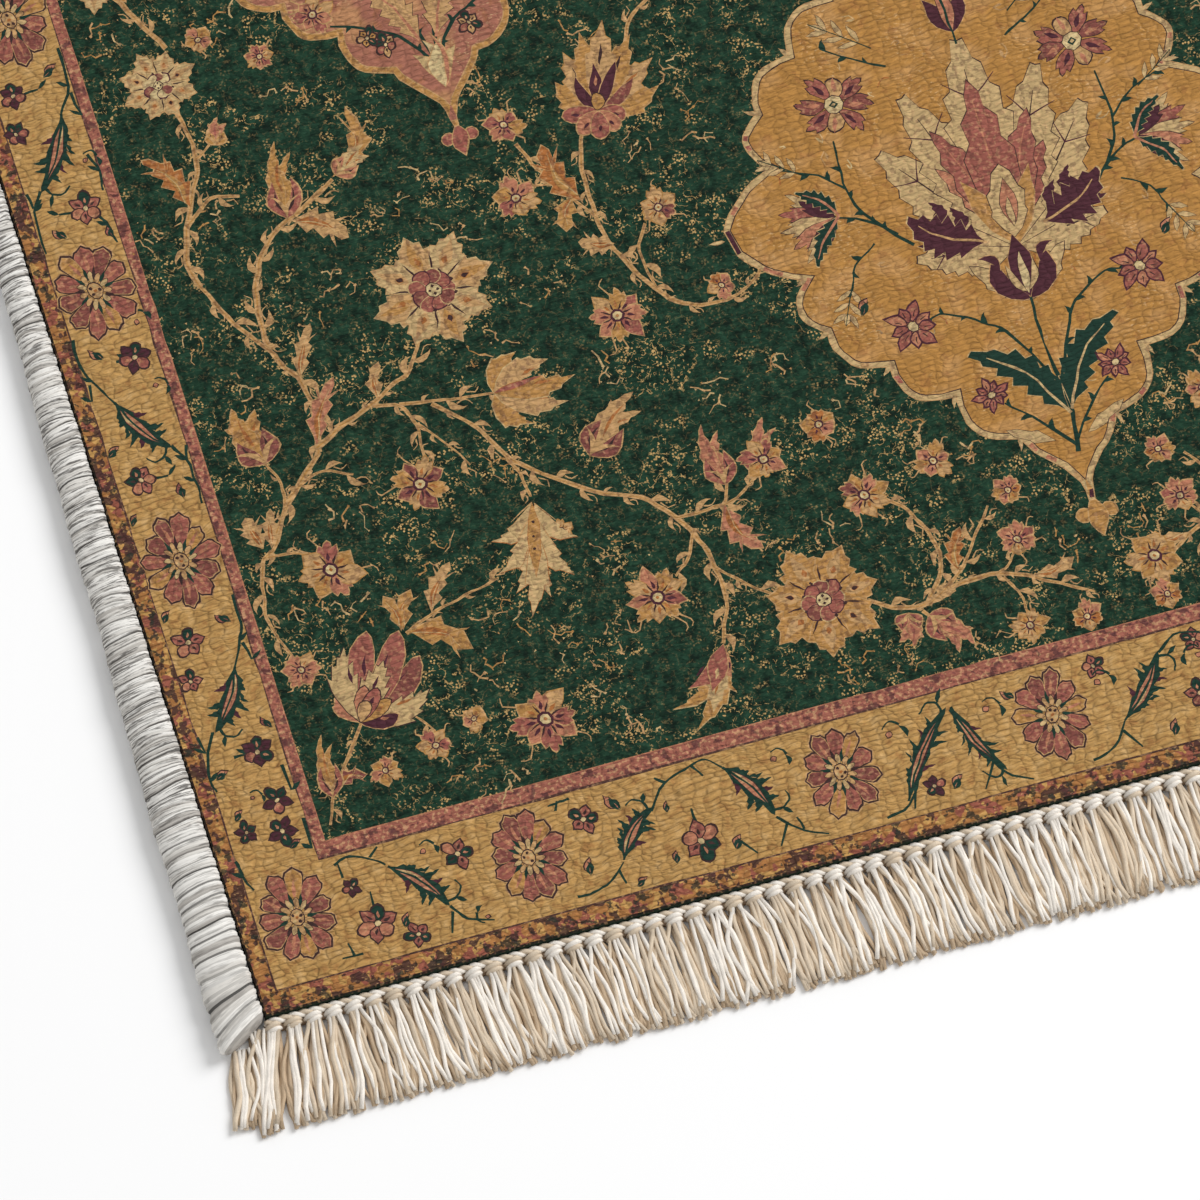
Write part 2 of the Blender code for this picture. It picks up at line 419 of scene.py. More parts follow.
HANGING_BLOSSOM = table(
    "tip_u tip_v width form bend yarn edge mark",
    (240, 83, 10, "leafy", 0.1, "honey", "cream", ""), (232, 97, 9, "leafy", 0.2, "honey", "cream", ""),
    (264, 97, 9, "leafy", -0.2, "honey", "cream", ""), (250, 90, 11, "leafy", 0, "cream", "tan", "rust"),
    (242, 106, 10, "pointed", 0.2, "rose", "tan", "wine"),
    (264, 105, 9, "pointed", -0.15, "salmon", "tan", "wine"),
    (253, 101, 10, "pointed", 0, "rose", "tan", "cream"),
)
GOLD_BLOSSOM = table(
    "tip_u tip_v width form bend yarn edge mark",
    (271, 430, 14, "leafy", 0.1, "honey", "tan", ""), (319, 414, 13, "leafy", -0.1, "honey", "tan", ""),
    (279, 444, 14, "leafy", 0, "tan", "honey", "umber"), (320, 429, 14, "leafy", 0, "tan", "honey", "rust"),
    (313, 444, 14, "leafy", 0, "honey", "tan", "umber"), (290, 452, 14, "leafy", 0, "honey", "tan", "umber"),
    (302, 455, 15, "leafy", 0, "tan", "honey", "umber"), (281, 430, 7, "pointed", 0.1, "wine", "tan", ""),
    (292, 435, 7, "pointed", 0, "wine", "tan", "salmon"), (303, 433, 7, "pointed", 0, "wine", "tan", ""),
    (309, 422, 7, "pointed", -0.1, "brick", "tan", ""), (269, 411, 10, "round", 0, "rose", "tan", "wine"),
    (300, 403, 10, "round", 0, "rose", "tan", "wine"), (274, 400, 10, "round", 0, "salmon", "tan", "wine"),
    (294, 397, 10, "round", 0, "salmon", "tan", "wine"), (284, 394, 10, "round", 0, "rose", "tan", "wine"),
    (289, 419, 7, "round", 0, "honey", "umber", ""),
)
GOLD_MAPLE = table(
    "tip_u tip_v width form bend yarn edge mark",
    (213, 299, 10, "leafy", 0.16, "honey", "cream", ""), (211, 260, 10, "leafy", -0.2, "honey", "cream", ""),
    (227, 291, 11, "leafy", 0.1, "tan", "cream", "rust"),
    (230, 267, 10, "leafy", -0.12, "tan", "cream", "rust"),
    (237, 279, 11, "leafy", -0.06, "honey", "cream", "rust"), (222, 283, 4, "lance", 0, "rose", "rust", ""),
)
HANGING_LOBES = table(
    "from_u from_v tip_u tip_v width bend",
    (198, 221, 173, 206, 11, 0.24), (199, 220, 214, 197, 10, -0.22), (197, 216, 172, 189, 12, 0.18),
    (198, 212, 207, 178, 11, -0.16), (195, 206, 177, 177, 10, 0.12), (196, 204, 193, 170, 10, -0.1),
    (195, 208, 181, 163, 11, 0.05),
)


def hanging_leaf(art):
    """A drooping leaf of long pointed cream lobes on a gold middle."""
    for lobe in HANGING_LOBES:
        stem = Sprig((lobe.from_u, lobe.from_v), (lobe.tip_u, lobe.tip_v))
        art.petal(stem.base, stem.tip, lobe.width, "cream", "rust", 0.35, form="leafy", bend=lobe.bend)
        art.stroke([stem.base, stem.at(0.5)], "tan", 0.7, 0.3, 2)
    art.petal((198, 221), (189, 182), 7, "honey", "rust", 0.35)
    for share in (0.25, 0.42, 0.56):
        art.disc((198 - 10 * share, 222 - 44 * share), 0.8, "umber", corners=5)


def tangle(art, centre, size):
    """Broken gold threads and beads, like a worn ground pattern."""
    chance = art.chance

    def near(share_u, share_v):
        return np.array(centre) + [chance.gauss(0, size * share_u), chance.gauss(0, size * share_v)]

    for _ in range(TANGLE_THREADS):
        points = [near(0.6, 0.5)]
        angle = chance.uniform(0, 6.28)
        for _ in range(chance.randint(2, 4)):
            angle += chance.uniform(-1.5, 1.5)
            points.append(toward(points[-1], angle, chance.uniform(1.6, 3.8)))
        yarn = chance.choice(("tan", "honey", "tan", "cream"))
        width = chance.uniform(0.5, 1.1)
        art.patch(stroke_outline(np.array(points), width, width * 0.6), yarn)
        art.disc(points[chance.randint(0, len(points) - 1)], chance.uniform(0.6, 1), yarn, corners=4)
    for _ in range(2 * TANGLE_THREADS):
        bead = disc_outline(near(0.8, 0.7), chance.uniform(0.4, 0.8), corners=3, turn=chance.uniform(0, 3))
        art.patch(bead, chance.choice(("tan", "honey", "cream")))


FIELD_VINES = table(
    "width end_width points",
    (1.8, 2.6, [(91, 468), (94, 448), (92, 433), (85, 419), (78, 402), (74, 386), (77, 374)]),
    (1.4, 1, [(94, 440), (99, 443), (106, 449)]), (2.2, 1.2, [(80, 407), (87, 413), (96, 418), (108, 415)]),
    (2.6, 1.8, [(101, 333), (99, 341), (101, 362), (105, 373), (111, 384), (124, 395), (135, 400),
                (154, 411)]),
    (1.6, 2.6, [(77, 374), (87, 351), (98, 335), (104, 322), (109, 313), (111, 294), (107, 275)]),
    (2.4, 1.3, [(107, 275), (92, 260), (82, 249), (73, 233), (65, 227), (60, 207), (59, 195), (66, 172)]),
    (2.6, 1.5, [(107, 277), (121, 285), (137, 291), (151, 299), (160, 303), (170, 318)]),
    (1.8, 1.2, [(139, 291), (151, 287), (156, 275), (155, 258)]),
    (1.3, 0.7, [(156, 276), (166, 264), (175, 248)]),
    (1.6, 1, [(151, 288), (168, 285), (180, 283), (197, 281)]),
    (1.8, 2.2, [(166, 284), (182, 268), (193, 248), (203, 237), (228, 218), (249, 208), (263, 192),
                (271, 175)]),
    (2.2, 1.4, [(271, 175), (273, 160), (273, 145), (265, 124)]),
    (1.8, 1, [(73, 236), (83, 252), (85, 264), (81, 276)]), (1.5, 0.9, [(86, 256), (104, 265), (120, 259)]),
    (1.3, 0.9, [(68, 229), (83, 227), (90, 221)]), (1.6, 1.1, [(87, 133), (73, 114), (63, 100), (58, 86)]),
    (1.2, 0.8, [(110, 133), (118, 122), (121, 112)]),
    (1.6, 0.9, [(121, 172), (134, 178), (153, 183), (171, 187)]),
    (1.7, 2, [(276, 400), (271, 385), (270, 366), (271, 346), (277, 330), (285, 314), (292, 305)]),
    (2, 1.2, [(292, 305), (300, 299), (315, 296), (330, 300), (340, 308)]),
    (1.6, 1.2, [(244, 404), (250, 388), (260, 372), (271, 354)]),
    (1.3, 1, [(292, 346), (285, 333), (287, 312)]), (1.3, 0.8, [(236, 383), (246, 380), (256, 378)]),
    (1.6, 1.4, [(309, 440), (316, 452), (330, 462), (344, 474)]),
    (1.6, 1.1, [(262, 193), (278, 193), (286, 194), (291, 204)]),
    (1.4, 1.1, [(278, 193), (293, 195), (305, 203)]), (1.5, 1.1, [(193, 247), (197, 235), (198, 224)]),
    (1.5, 1, [(268, 184), (262, 172), (253, 164)]), (1.5, 1, [(273, 163), (283, 152), (295, 142)]),
    (1.4, 2, [(356, 179), (368, 168), (375, 155), (378, 142), (376, 130), (366, 117)]),
    (1.5, 2.8, [(338, 126), (350, 118), (365, 116), (380, 120)]),
    (2.6, 1.2, [(365, 116), (380, 121), (398, 122), (412, 118), (426, 110), (444, 99)]),
    (1.8, 1.1, [(366, 115), (380, 124), (389, 132), (397, 143), (408, 157)]),
    (1.3, 0.8, [(401, 121), (409, 125), (414, 132)]), (1.3, 0.9, [(404, 119), (409, 110), (410, 98)]),
    (1.5, 1, [(362, 113), (368, 104), (376, 94)]),
    (2.2, 1.4, [(96, 500), (84, 524), (74, 552), (80, 584), (70, 616), (82, 648), (100, 668)]),
    (1.8, 1, [(82, 584), (94, 600), (96, 622)]),
    (2.2, 1.2, [(100, 668), (122, 690), (134, 716), (128, 744)]),
    (2, 1.2, [(344, 474), (352, 500), (372, 520), (392, 530)]),
    (1.8, 1, [(352, 500), (344, 526), (350, 552)]),
    (1.8, 1.2, [(122, 690), (152, 700), (182, 716), (196, 742)]),
    (1.6, 1, [(122, 690), (110, 712), (96, 730)]),
    (1.8, 1.1, [(350, 552), (366, 580), (352, 612), (326, 640), (330, 690), (300, 724)]),
)

FIELD_STARS = table(
    "u v radius petals fills",
    (138, 483, 7.5, 7, ("salmon", "rose")), (149, 245, 14.5, 8, ("brick", "honey")),
    (95, 214, 15.5, 7, ("honey", "rose")), (67, 168, 9, 6, ("tan", "salmon")),
    (118, 112, 8.5, 6, ("tan", "rose")), (91, 106, 7.5, 6, ("honey", "tan")),
    (139, 120, 6.5, 5, ("honey", "tan")), (241, 415, 9.5, 6, ("rose", "honey")),
    (236, 376, 11, 6, ("honey", "rose")), (300, 352, 10, 6, ("tan", "brick")),
    (265, 303, 14, 8, ("rose", "honey")), (311, 211, 11, 7, ("honey", "rose")),
    (342, 221, 9, 5, ("honey", "rust")), (389, 187, 9.5, 6, ("salmon", "honey")),
    (352, 179, 12.5, 8, ("honey", "brick")), (242, 156, 15, 9, ("rose", "honey")),
    (172, 110, 16.5, 8, ("honey", "rose")), (419, 162, 8, 6, ("rust", "honey")),
    (416, 136, 9.5, 6, ("rose", "salmon")), (409, 91, 9, 7, ("honey", "tan")),
    (437, 88, 8, 6, ("honey", "rust")), (318, 304, 7, 5, ("honey", "rust")),
    (208, 203, 5, 5, ("tan", "honey")), (112, 500, 7, 5, ("honey", "salmon")),
    (96, 628, 9.5, 6, ("rose", "honey")), (126, 750, 12, 8, ("honey", "rose")),
    (90, 736, 8, 6, ("rose", "tan")), (398, 534, 9, 6, ("honey", "rose")),
    (300, 732, 10, 7, ("rose", "honey")), (350, 476, 12, 8, ("rose", "honey")),
)
LARGE_FLOWERS = table(
    "u v radius petals fills heart turn",
    (87, 482, 18.5, 8, ("cream", "cream"), "ivory", 0.3), (184, 341, 28.5, 8, ("tan", "cream"), "rose", 0.2),
    (318, 132, 27.5, 7, ("honey", "honey"), "rose", 0.1), (76, 548, 20, 8, ("honey", "cream"), "rose", 0.4),
    (196, 752, 22, 8, ("cream", "tan"), "rose", 0), (360, 618, 20, 7, ("honey", "cream"), "rose", 0),
)
FIELD_BUDS = table(
    "u v tip_u tip_v width lower upper",
    (104, 444, 110, 458, 10, "honey", "salmon"), (127, 397, 133, 438, 13, "rose", "honey"),
    (156, 412, 174, 424, 12, "salmon", "cream"), (81, 276, 74, 309, 20, "brick", "honey"),
    (231, 236, 262, 262, 17, "brick", "tan"), (290, 203, 288, 237, 13, "rose", "salmon"),
    (306, 203, 318, 232, 13, "rose", "salmon"), (355, 114, 352, 96, 13, "rose", "salmon"),
    (364, 110, 381, 88, 15, "rose", "salmon"), (63, 100, 67, 133, 9, "rose", "honey"),
    (80, 586, 96, 574, 11, "rose", "honey"), (345, 552, 338, 578, 12, "rose", "honey"),
)
GOLD_LEAVES = table(
    "u v tip_u tip_v width bend teeth yarn",
    (84, 416, 68, 447, 11, -0.12, 4, "rust"), (154, 412, 170, 446, 10, -0.26, 3, "honey"),
    (128, 396, 153, 379, 12, 0.12, 3, "tan"), (109, 314, 122, 341, 7, 0.05, 3, "tan"),
    (107, 278, 125, 311, 9, 0.08, 3, "salmon"), (142, 293, 148, 313, 6, 0.1, 2, "tan"),
    (120, 174, 129, 194, 8, 0.1, 2, "honey"), (119, 174, 115, 194, 7, -0.1, 2, "honey"),
    (121, 173, 149, 155, 12, 0.14, 2, "honey"), (135, 179, 151, 202, 8, 0.08, 3, "tan"),
    (67, 104, 82, 107, 7, 0.2, 2, "brick"), (266, 366, 255, 400, 12, 0.1, 3, "rust"),
    (262, 370, 254, 352, 9, -0.1, 2, "honey"), (275, 340, 258, 346, 9, 0.1, 3, "tan"),
    (286, 194, 298, 166, 11, -0.14, 3, "salmon"), (384, 128, 392, 150, 8, 0.12, 3, "rust"),
    (418, 116, 440, 120, 7, -0.12, 2, "tan"), (67, 234, 63, 252, 10, 0, 3, "tan"),
    (71, 233, 76, 253, 7, 0, 3, "tan"), (344, 472, 356, 462, 8, 0.1, 2, "honey"),
    (74, 616, 60, 636, 8, 0.1, 3, "honey"), (100, 668, 112, 644, 9, 0.1, 3, "honey"),
    (366, 580, 384, 566, 9, 0.1, 3, "rust"), (330, 690, 312, 700, 8, 0.1, 3, "honey"),
)
FIELD_TANGLES = table(
    "u v size",
    (109, 503, 9), (125, 506, 10), (66, 516, 9), (93, 408, 6), (82, 312, 9), (203, 470, 9), (285, 449, 10),
    (332, 420, 11), (330, 385, 8), (302, 386, 10), (206, 366, 10), (199, 398, 9), (172, 384, 11),
    (238, 326, 9), (252, 276, 9), (150, 206, 10), (168, 166, 10), (192, 146, 10), (218, 140, 8),
    (202, 123, 11), (214, 98, 10), (152, 84, 9), (130, 90, 8), (360, 236, 9), (384, 205, 8), (300, 166, 8),
    (318, 92, 9), (388, 92, 8), (442, 128, 8), (112, 237, 9), (76, 200, 10), (120, 348, 10), (140, 360, 10),
    (100, 190, 8), (230, 440, 8), (300, 252, 9), (331, 258, 8), (408, 186, 8), (348, 92, 8), (200, 305, 8),
    (60, 408, 7), (150, 460, 9), (226, 182, 8), (330, 165, 7), (155, 140, 8), (60, 350, 7), (66, 290, 6),
    (186, 244, 8), (66, 590, 9), (104, 700, 9), (150, 740, 9), (230, 756, 9), (340, 750, 9), (380, 556, 9),
    (392, 496, 8), (64, 668, 8), (66, 740, 8), (160, 726, 9), (336, 660, 9), (262, 744, 8),
)


def draw_field(art):
    """One quarter of the green field, up to the two centre lines."""
    for spot in FIELD_TANGLES:
        tangle(art, (spot.u, spot.v), spot.size)
    for stem in FIELD_VINES:
        vine(art, stem.points, stem.width * 1.2, stem.end_width * 1.2)
    for one in GOLD_LEAVES:
        gold_leaf(art, (one.u, one.v), (one.tip_u, one.tip_v), one.width, one.yarn, one.bend, one.teeth)
    for one in FIELD_BUDS:
        bud(art, (one.u, one.v), (one.tip_u, one.tip_v), one.width, one.lower, one.upper)
    for star in FIELD_STARS:
        star_flower(art, (star.u, star.v), star.radius, star.petals, star.fills, art.chance.uniform(0, 1))
    for big in LARGE_FLOWERS:
        serrated_flower(art, (big.u, big.v), big.radius, big.petals, big.fills, big.turn, big.heart)
    for base, petals in (((287, 409), GOLD_BLOSSOM), ((196, 281), GOLD_MAPLE),
                         ((86.5, 133.5), CORNER_BLOSSOM), ((265, 124), HANGING_BLOSSOM)):
        petal_spread(art, base, petals)
    hanging_leaf(art)


# ---- borders


def border_rosette(art, centre, width=19, stretch=1.3, petals=11, turn=0):
    """A many-petalled rose flower, longer along the rug than across it."""
    chance, bloom = art.chance, Bloom(art, centre, width, stretch)
    step = FULL_TURN / petals
    reaches = [chance.uniform(0.92, 1.08) for _ in range(petals)]
    widths = [chance.uniform(0.38, 0.47) for _ in range(petals)]
    for grow, yarn in ((0.9, "tan"), (0.4, "umber")):
        for index in range(petals):
            bloom.mark(turn + index * step, 0.2, reaches[index] + grow / width,
                       widths[index] + (0.8 + grow * 1.6) / width, yarn, form="blunt")
    for index in range(petals):
        angle, odd = turn + index * step, index % 2
        fill = "honey" if index % 6 == 2 else ("rose" if odd else "brick")
        bloom.petal(angle, 0.24, reaches[index] - 0.5 / width, widths[index], fill,
                    "salmon" if odd else "tan", 0.35, form="blunt")
        swing = angle + chance.uniform(-0.05, 0.05)
        art.mark(bloom.at(angle, 0.4), bloom.at(swing, 0.84), width * 0.1,
                 "salmon" if index % 3 else "brick")
    for index in range(petals):
        bloom.mark(turn + (index + 0.5) * step, 0.24, 0.56, 0.1, "leaf" if index % 3 else "umber")
        bloom.petal(turn + index * step, 0.16, 0.44, 0.15, "cream" if index % 2 else "tan", "umber", 0.25,
                    form="round")
    art.disc(centre, width * 0.2, "tan", "umber", stretch=stretch, corners=9)
    for index in range(5):
        art.disc(bloom.at(turn + index * 1.257, 0.11), width * 0.05, "cream" if index % 2 else "umber",
                 corners=5)
    art.disc(centre, width * 0.05, "rust", corners=5)


def border_flower(art, centre, radius, petals=5, fills=("rose", "brick"), turn=0.3):
    """A small flower of mixed petals, one or two of them dark green."""
    chance, bloom = art.chance, Bloom(art, centre, radius)
    for index in range(petals):
        angle, odd = turn + index * FULL_TURN / petals, index % 2
        fill = "leaf" if index == 1 or chance.random() < 0.12 else fills[index % len(fills)]
        tip = toward(centre, angle, radius * chance.uniform(1.05, 1.3), 1.1)
        art.petal(bloom.at(angle, 0.1), tip, radius * 0.9, fill, "umber", 0.7,
                  form="round" if odd else "pointed")
        bloom.mark(angle, 0.35, 0.8, 0.2, "salmon" if odd else "umber")
    art.disc(centre, radius * 0.24, "ivory", "umber", 0.4, corners=6)


def border_bud(art, centre, size, yarn, turn):
    """A small bud between two dark leaves."""
    bloom = Bloom(art, centre, size * 1.3)
    bloom.petal(turn, -1, 1, 1, yarn, "umber", 0.55, bend=0.12)
    for swing in (0.6, -0.5):
        art.mark(bloom.at(turn, -1.2), bloom.at(turn + swing, 0.6), bloom.radius * 0.42, "leaf",
                 "pointed", -swing * 0.4)


def border_hook(art, centre, size, turn):
    """A bud on a curled stalk with a dark tail."""
    bloom = Bloom(art, centre, size * 1.35)
    stalk = [bloom.at(turn + step, 1.1 - step * 0.14) for step in (0, 0.7, 1.4, 2.2)]
    art.stroke(stalk, "leaf", 1.3, 0.6)
    art.petal(centre, bloom.at(turn + 3.6, 0.9), bloom.radius * 0.7, "salmon", "umber")
    art.mark(bloom.at(turn, 1), bloom.at(turn - 1, 1.6), bloom.radius * 0.55, "leaf", "pointed", 0.2)


SPRAY_LEAFLETS = table(
    "share side reach width yarn",
    (0.1, 1, 0.3, 0.3, "leaf"), (0.16, 1, 0.44, 0.26, "leaf"), (0.24, 1, 0.52, 0.24, "leaf"),
    (0.12, -1, 0.46, 0.22, "wine"), (0.34, -1, 0.52, 0.26, "leaf"), (0.44, 1, 0.4, 0.22, "wine"),
    (0.5, -1, 0.42, 0.22, "leaf"), (0.6, 1, 0.36, 0.2, "leaf"),
)


def spray(art, root, tip, width, hand):
    """A long feathered leaf: light stripes between dark ribs, with hooked leaflets beside it."""
    stem = Sprig(root, tip)
    lean = 0.16 * width * hand / stem.length

    def along(share, out=0):
        return stem.at(share, hand * (0.64 * width * share * (1 - share) + out))

    for leaf in SPRAY_LEAFLETS:
        start = along(leaf.share)
        end = along(min(leaf.share + leaf.reach * 0.66, 1.02), leaf.side * width * leaf.reach * 1.15)
        dark = leaf.yarn == "leaf"
        art.petal(start, end, width * leaf.width * 1.3, leaf.yarn, "leaf" if dark else "umber", 0.1,
                  form="flame", bend=-0.2 * leaf.side * hand)
        art.stroke([start, (start + end) / 2 + stem.axis * 0.02], "tan" if dark else "salmon", 0.9, 0.3, 2)
    art.patch(petal_outline(root, tip, width * 0.5, bend=lean, teeth=4, tooth=0.16), "leaf")
    art.petal(along(0.08), along(0.86), width * 0.3, "salmon", "umber", 0.35, bend=lean * 0.7)
    art.mark(along(0.12), along(0.6), width * 0.12, "cream", bend=lean * 0.6)
    art.stroke([along(0), along(0.5), along(0.96)], "leaf", 1.3, 0.7)
    out = width * hand
    curl = [stem.at(0.9), stem.at(1, 0.3 * out), stem.at(0.96, 0.62 * out), stem.at(0.84, 0.72 * out)]
    art.stroke(curl, "leaf", 1.5, 0.8)
    art.mark(curl[1], stem.at(1.16, 0.4 * out), width * 0.14, "leaf", "pointed")


SIDE_ROSETTES, END_ROSETTES = (239, 387, 536, 685), (144, 300, 406)
UNIT_FEET = (39, 239, 387, 536, 640)

# One stretch of the side border, from one rosette to the next, told from the lower one.
BorderUnit = namedtuple("BorderUnit", "stems sprays flowers buds hooks")
UPPER_UNIT = BorderUnit(
    stems=[[(46, 128), (45, 107), (38, 94)], [(45, 104), (47, 91)], [(22, 109), (31, 110)],
           [(17, 58), (11, 48), (10, 25)], [(10, 58), (11, 50)], [(31, 42), (22, 43)],
           [(40, 38), (43, 31), (45, 21)], [(44, 70), (47, 60), (46, 50)]],
    sprays=table("u v tip_u tip_v width hand", (38, 94, 17, 57, 17, 1)),
    flowers=table("u v radius", (18, 110, 5.5), (14, 90, 5), (35, 43, 6.5)),
    buds=table("u v size", (39, 118, 3.4), (19, 34, 3.2), (43, 28, 2.6)),
    hooks=table("u v size", (44, 68, 3)),
)
LOWER_UNIT = BorderUnit(
    stems=[[(10, 126), (9, 114), (13, 102), (20, 89)], [(11, 101), (10, 92)], [(27, 109), (33, 109)],
           [(40, 59), (45, 50), (46, 38), (46, 26)], [(47, 58), (45, 50)], [(28, 45), (34, 45)]],
    sprays=table("u v tip_u tip_v width hand", (20, 89, 40, 58, 17, -1)),
    flowers=table("u v radius", (36, 109, 6.5), (21, 46, 6)),
    buds=table("u v size", (18, 116, 3.2), (13, 64, 3), (38, 36, 3), (12, 27, 2.6)),
    hooks=table("u v size", (43, 128, 3.2), (43, 92, 3)),
)
CORNER_UNIT = BorderUnit(
    stems=[[(46, 176), (46, 161), (43, 152), (37, 140)], [(44, 151), (46, 141)],
           [(17, 110), (11, 97), (9, 85), (10, 79)], [(9, 109), (11, 100)], [(23, 94), (30, 94)],
           [(44, 84), (45, 70)], [(46, 55), (46, 38)], [(9, 42), (10, 33), (13, 25)]],
    sprays=table("u v tip_u tip_v width hand", (37, 140, 18, 109, 17, 1)),
    flowers=table("u v radius", (19, 158, 6.5), (14, 138, 5), (35, 94, 6.5), (37, 67, 6), (18, 55, 4.6),
                  (35, 51, 6)),
    buds=table("u v size", (13, 174, 2.8), (38, 166, 3.2), (16, 87, 3), (17, 65, 2.6), (39, 43, 2.6),
               (43, 108, 2.8)),
    hooks=table("u v size", (27, 72, 2.4)),
)


def side_unit(art, unit, rise):
    """Lay one unit of the side border with its foot at the given height."""
    chance = art.chance
    for route in unit.stems:
        art.stroke([(u, v + rise) for u, v in route], "leaf", 1.7, 1)
        u, v = route[len(route) // 2]
        art.mark((u, v + rise), (u + chance.choice((-5, 5)), v + rise + 4), 2.2, "leaf", "pointed")
    for one in unit.sprays:
        spray(art, (one.u, one.v + rise), (one.tip_u, one.tip_v + rise), one.width, one.hand)
    for one in unit.flowers:
        wine = chance.random() < 0.4
        border_flower(art, (one.u, one.v + rise), one.radius * 1.1, chance.choice((5, 6)),
                      ("wine", "rose") if wine else ("rose", "salmon"), chance.uniform(0, 1))
    for one in unit.buds:
        yarn = chance.choice(("salmon", "rose"))
        border_bud(art, (one.u, one.v + rise), one.size, yarn, chance.uniform(0.4, 2.4))
    for one in unit.hooks:
        border_hook(art, (one.u, one.v + rise), one.size, chance.uniform(-0.5, 0.8))


END_STEMS = (
    [(53, 66), (60, 68), (68, 66), (77, 59)], [(71, 65), (76, 69)], [(101, 30), (107, 21), (119, 17)],
    [(101, 27), (98, 16)], [(56, 58), (55, 66)], [(66, 40), (66, 48)], [(54, 18), (44, 18)],
    [(50, 18), (48, 25)], [(163, 63), (165, 68)], [(171, 67), (165, 67), (160, 66)],
    [(161, 17), (169, 17), (178, 20), (187, 28)],
    [(184, 25), (185, 17)], [(207, 50), (213, 58), (220, 63), (231, 67), (240, 68), (246, 62)],
    [(232, 67), (236, 60)], [(218, 62), (213, 66)], [(264, 30), (272, 21), (286, 14)], [(268, 26), (262, 15)],
    [(275, 20), (273, 27)], [(226, 38), (226, 46)], [(315, 14), (327, 18), (338, 34)], [(332, 26), (329, 15)],
    [(359, 60), (368, 38), (376, 21), (388, 14)], [(372, 28), (364, 15)], [(244, 23), (250, 14)],
)
MIDDLE_STEMS = ([(418, 15), (430, 19), (439, 31)], [(464, 60), (474, 67), (486, 65)], [(436, 26), (443, 15)])
END_SPRAYS = table(
    "u v tip_u tip_v width hand",
    (78, 58, 101, 30, 17, 1), (187, 29, 208, 52, 16, 1), (246, 62, 264, 31, 17, 1),
    (327, 20, 358, 62, 15, 1), (360, 61, 377, 22, 13, -1),
)
END_FLOWERS = table(
    "u v radius wine",
    (112, 55, 6.2, False), (65, 31, 7.6, False), (82, 20, 5.4, False), (175, 55, 6.2, False),
    (226, 28, 8, False), (341, 24, 4.6, True), (58, 52, 4.2, True), (432, 62, 5, False),
)
END_BUDS = table(
    "u v size turn",
    (190, 60, 4, 2.2), (171, 31, 3.4, 1.4), (243, 23, 3.2, 1), (79, 29, 3, 1.2), (193, 16, 2.6, 0.6),
    (353, 23, 3.4, 0.8), (215, 50, 2.2, 1.5), (212, 24, 2.6, 1.4), (388, 60, 3, 2.4),
)
END_HOOKS = table(
    "u v size turn",
    (98, 62, 3.2, 0.2), (115, 20, 2.8, 2.4), (273, 60, 3.4, 0), (329, 57, 3.8, 0.4), (378, 56, 3.6, 0),
    (433, 55, 3.6, 0.2),
)


def draw_border_motifs(art):
    """The flowers and sprays of one quarter of the border."""
    for unit, rise in zip((CORNER_UNIT, LOWER_UNIT, UPPER_UNIT, LOWER_UNIT, UPPER_UNIT), UNIT_FEET):
        side_unit(art, unit, rise)
    for rise in SIDE_ROSETTES:
        border_rosette(art, (27.5, rise), turn=rise * 0.01)
    for route in END_STEMS:
        art.stroke(route, "leaf", 1.5, 0.9)
    for one in END_SPRAYS:
        spray(art, (one.u, one.v), (one.tip_u, one.tip_v), one.width, one.hand)
    for one in END_FLOWERS:
        border_flower(art, (one.u, one.v), one.radius * 1.12, 6 if one.radius > 7 else 5,
                      ("wine", "rose") if one.wine else ("rose", "salmon"), one.u * 0.1)
    for one in END_BUDS:
        border_bud(art, (one.u, one.v), one.size, "salmon", one.turn)
    for one in END_HOOKS:
        border_hook(art, (one.u, one.v), one.size, one.turn)
    border_rosette(art, (29, 45), 19.5, 1.25, 11, 0.2)
    for across, petals in zip(END_ROSETTES, (12, 11, 11)):
        border_rosette(art, (across, 43.5), 18.5, 1.28, petals, across * 0.02)


def draw_end_middle(art):
    """The spray that crosses the middle of an end border, told from the rug's left edge."""
    for route in MIDDLE_STEMS:
        art.stroke(route, "leaf", 1.5, 0.9)
    spray(art, (439, 31), (464, 61), 16, -1)
    border_bud(art, (461, 21), 3.4, "salmon", 1.2)
    border_flower(art, (477, 34), 6.4)
    border_bud(art, (486, 52), 3, "rose", 0.6)


def box_outline(across, along, step=9):
    """A rectangle round the middle whose edges carry enough points to wander a little."""
    x = np.linspace(-across, across, max(2, int(2 * across / step)))
    y = np.linspace(-along, along, max(2, int(2 * along / step)))
    lower, right = np.stack([x, np.full_like(x, -along)], 1), np.stack([np.full_like(y, across), y], 1)
    return np.vstack([lower, right[1:], -lower[1:], -right[1:-1]])


# Frames of the rug, each inside the one before: distance from the sides and from the ends.
FRAMES = table(
    "from_side from_end yarn",
    (0.9, 0.8, "mottled gold"), (8.4, 10.5, "line brown"), (9.2, 11.4, "ochre"), (46.8, 70.2, "line brown"),
    (47.6, 71.2, "rose stripe"), (52.4, 79, "salmon"), (52.9, 79.6, "green field"),
)


def draw_frames(art):
    for one in FRAMES:
        art.patch(box_outline(HALF_WIDTH - one.from_side, HALF_LENGTH - one.from_end), one.yarn)


# ---- medallions

# Cusps of a medallion's outline in one quarter, and how far each arc up to the next swells.
MEDALLION_CUSPS = table(
    "across up swell",
    (133, 0, 4.5), (100.5, 31, 9), (98, 60, 8.5), (74, 86, 9.5), (48, 110, 9.5), (24.5, 140, 2),
    (1.6, 181, 0),
)


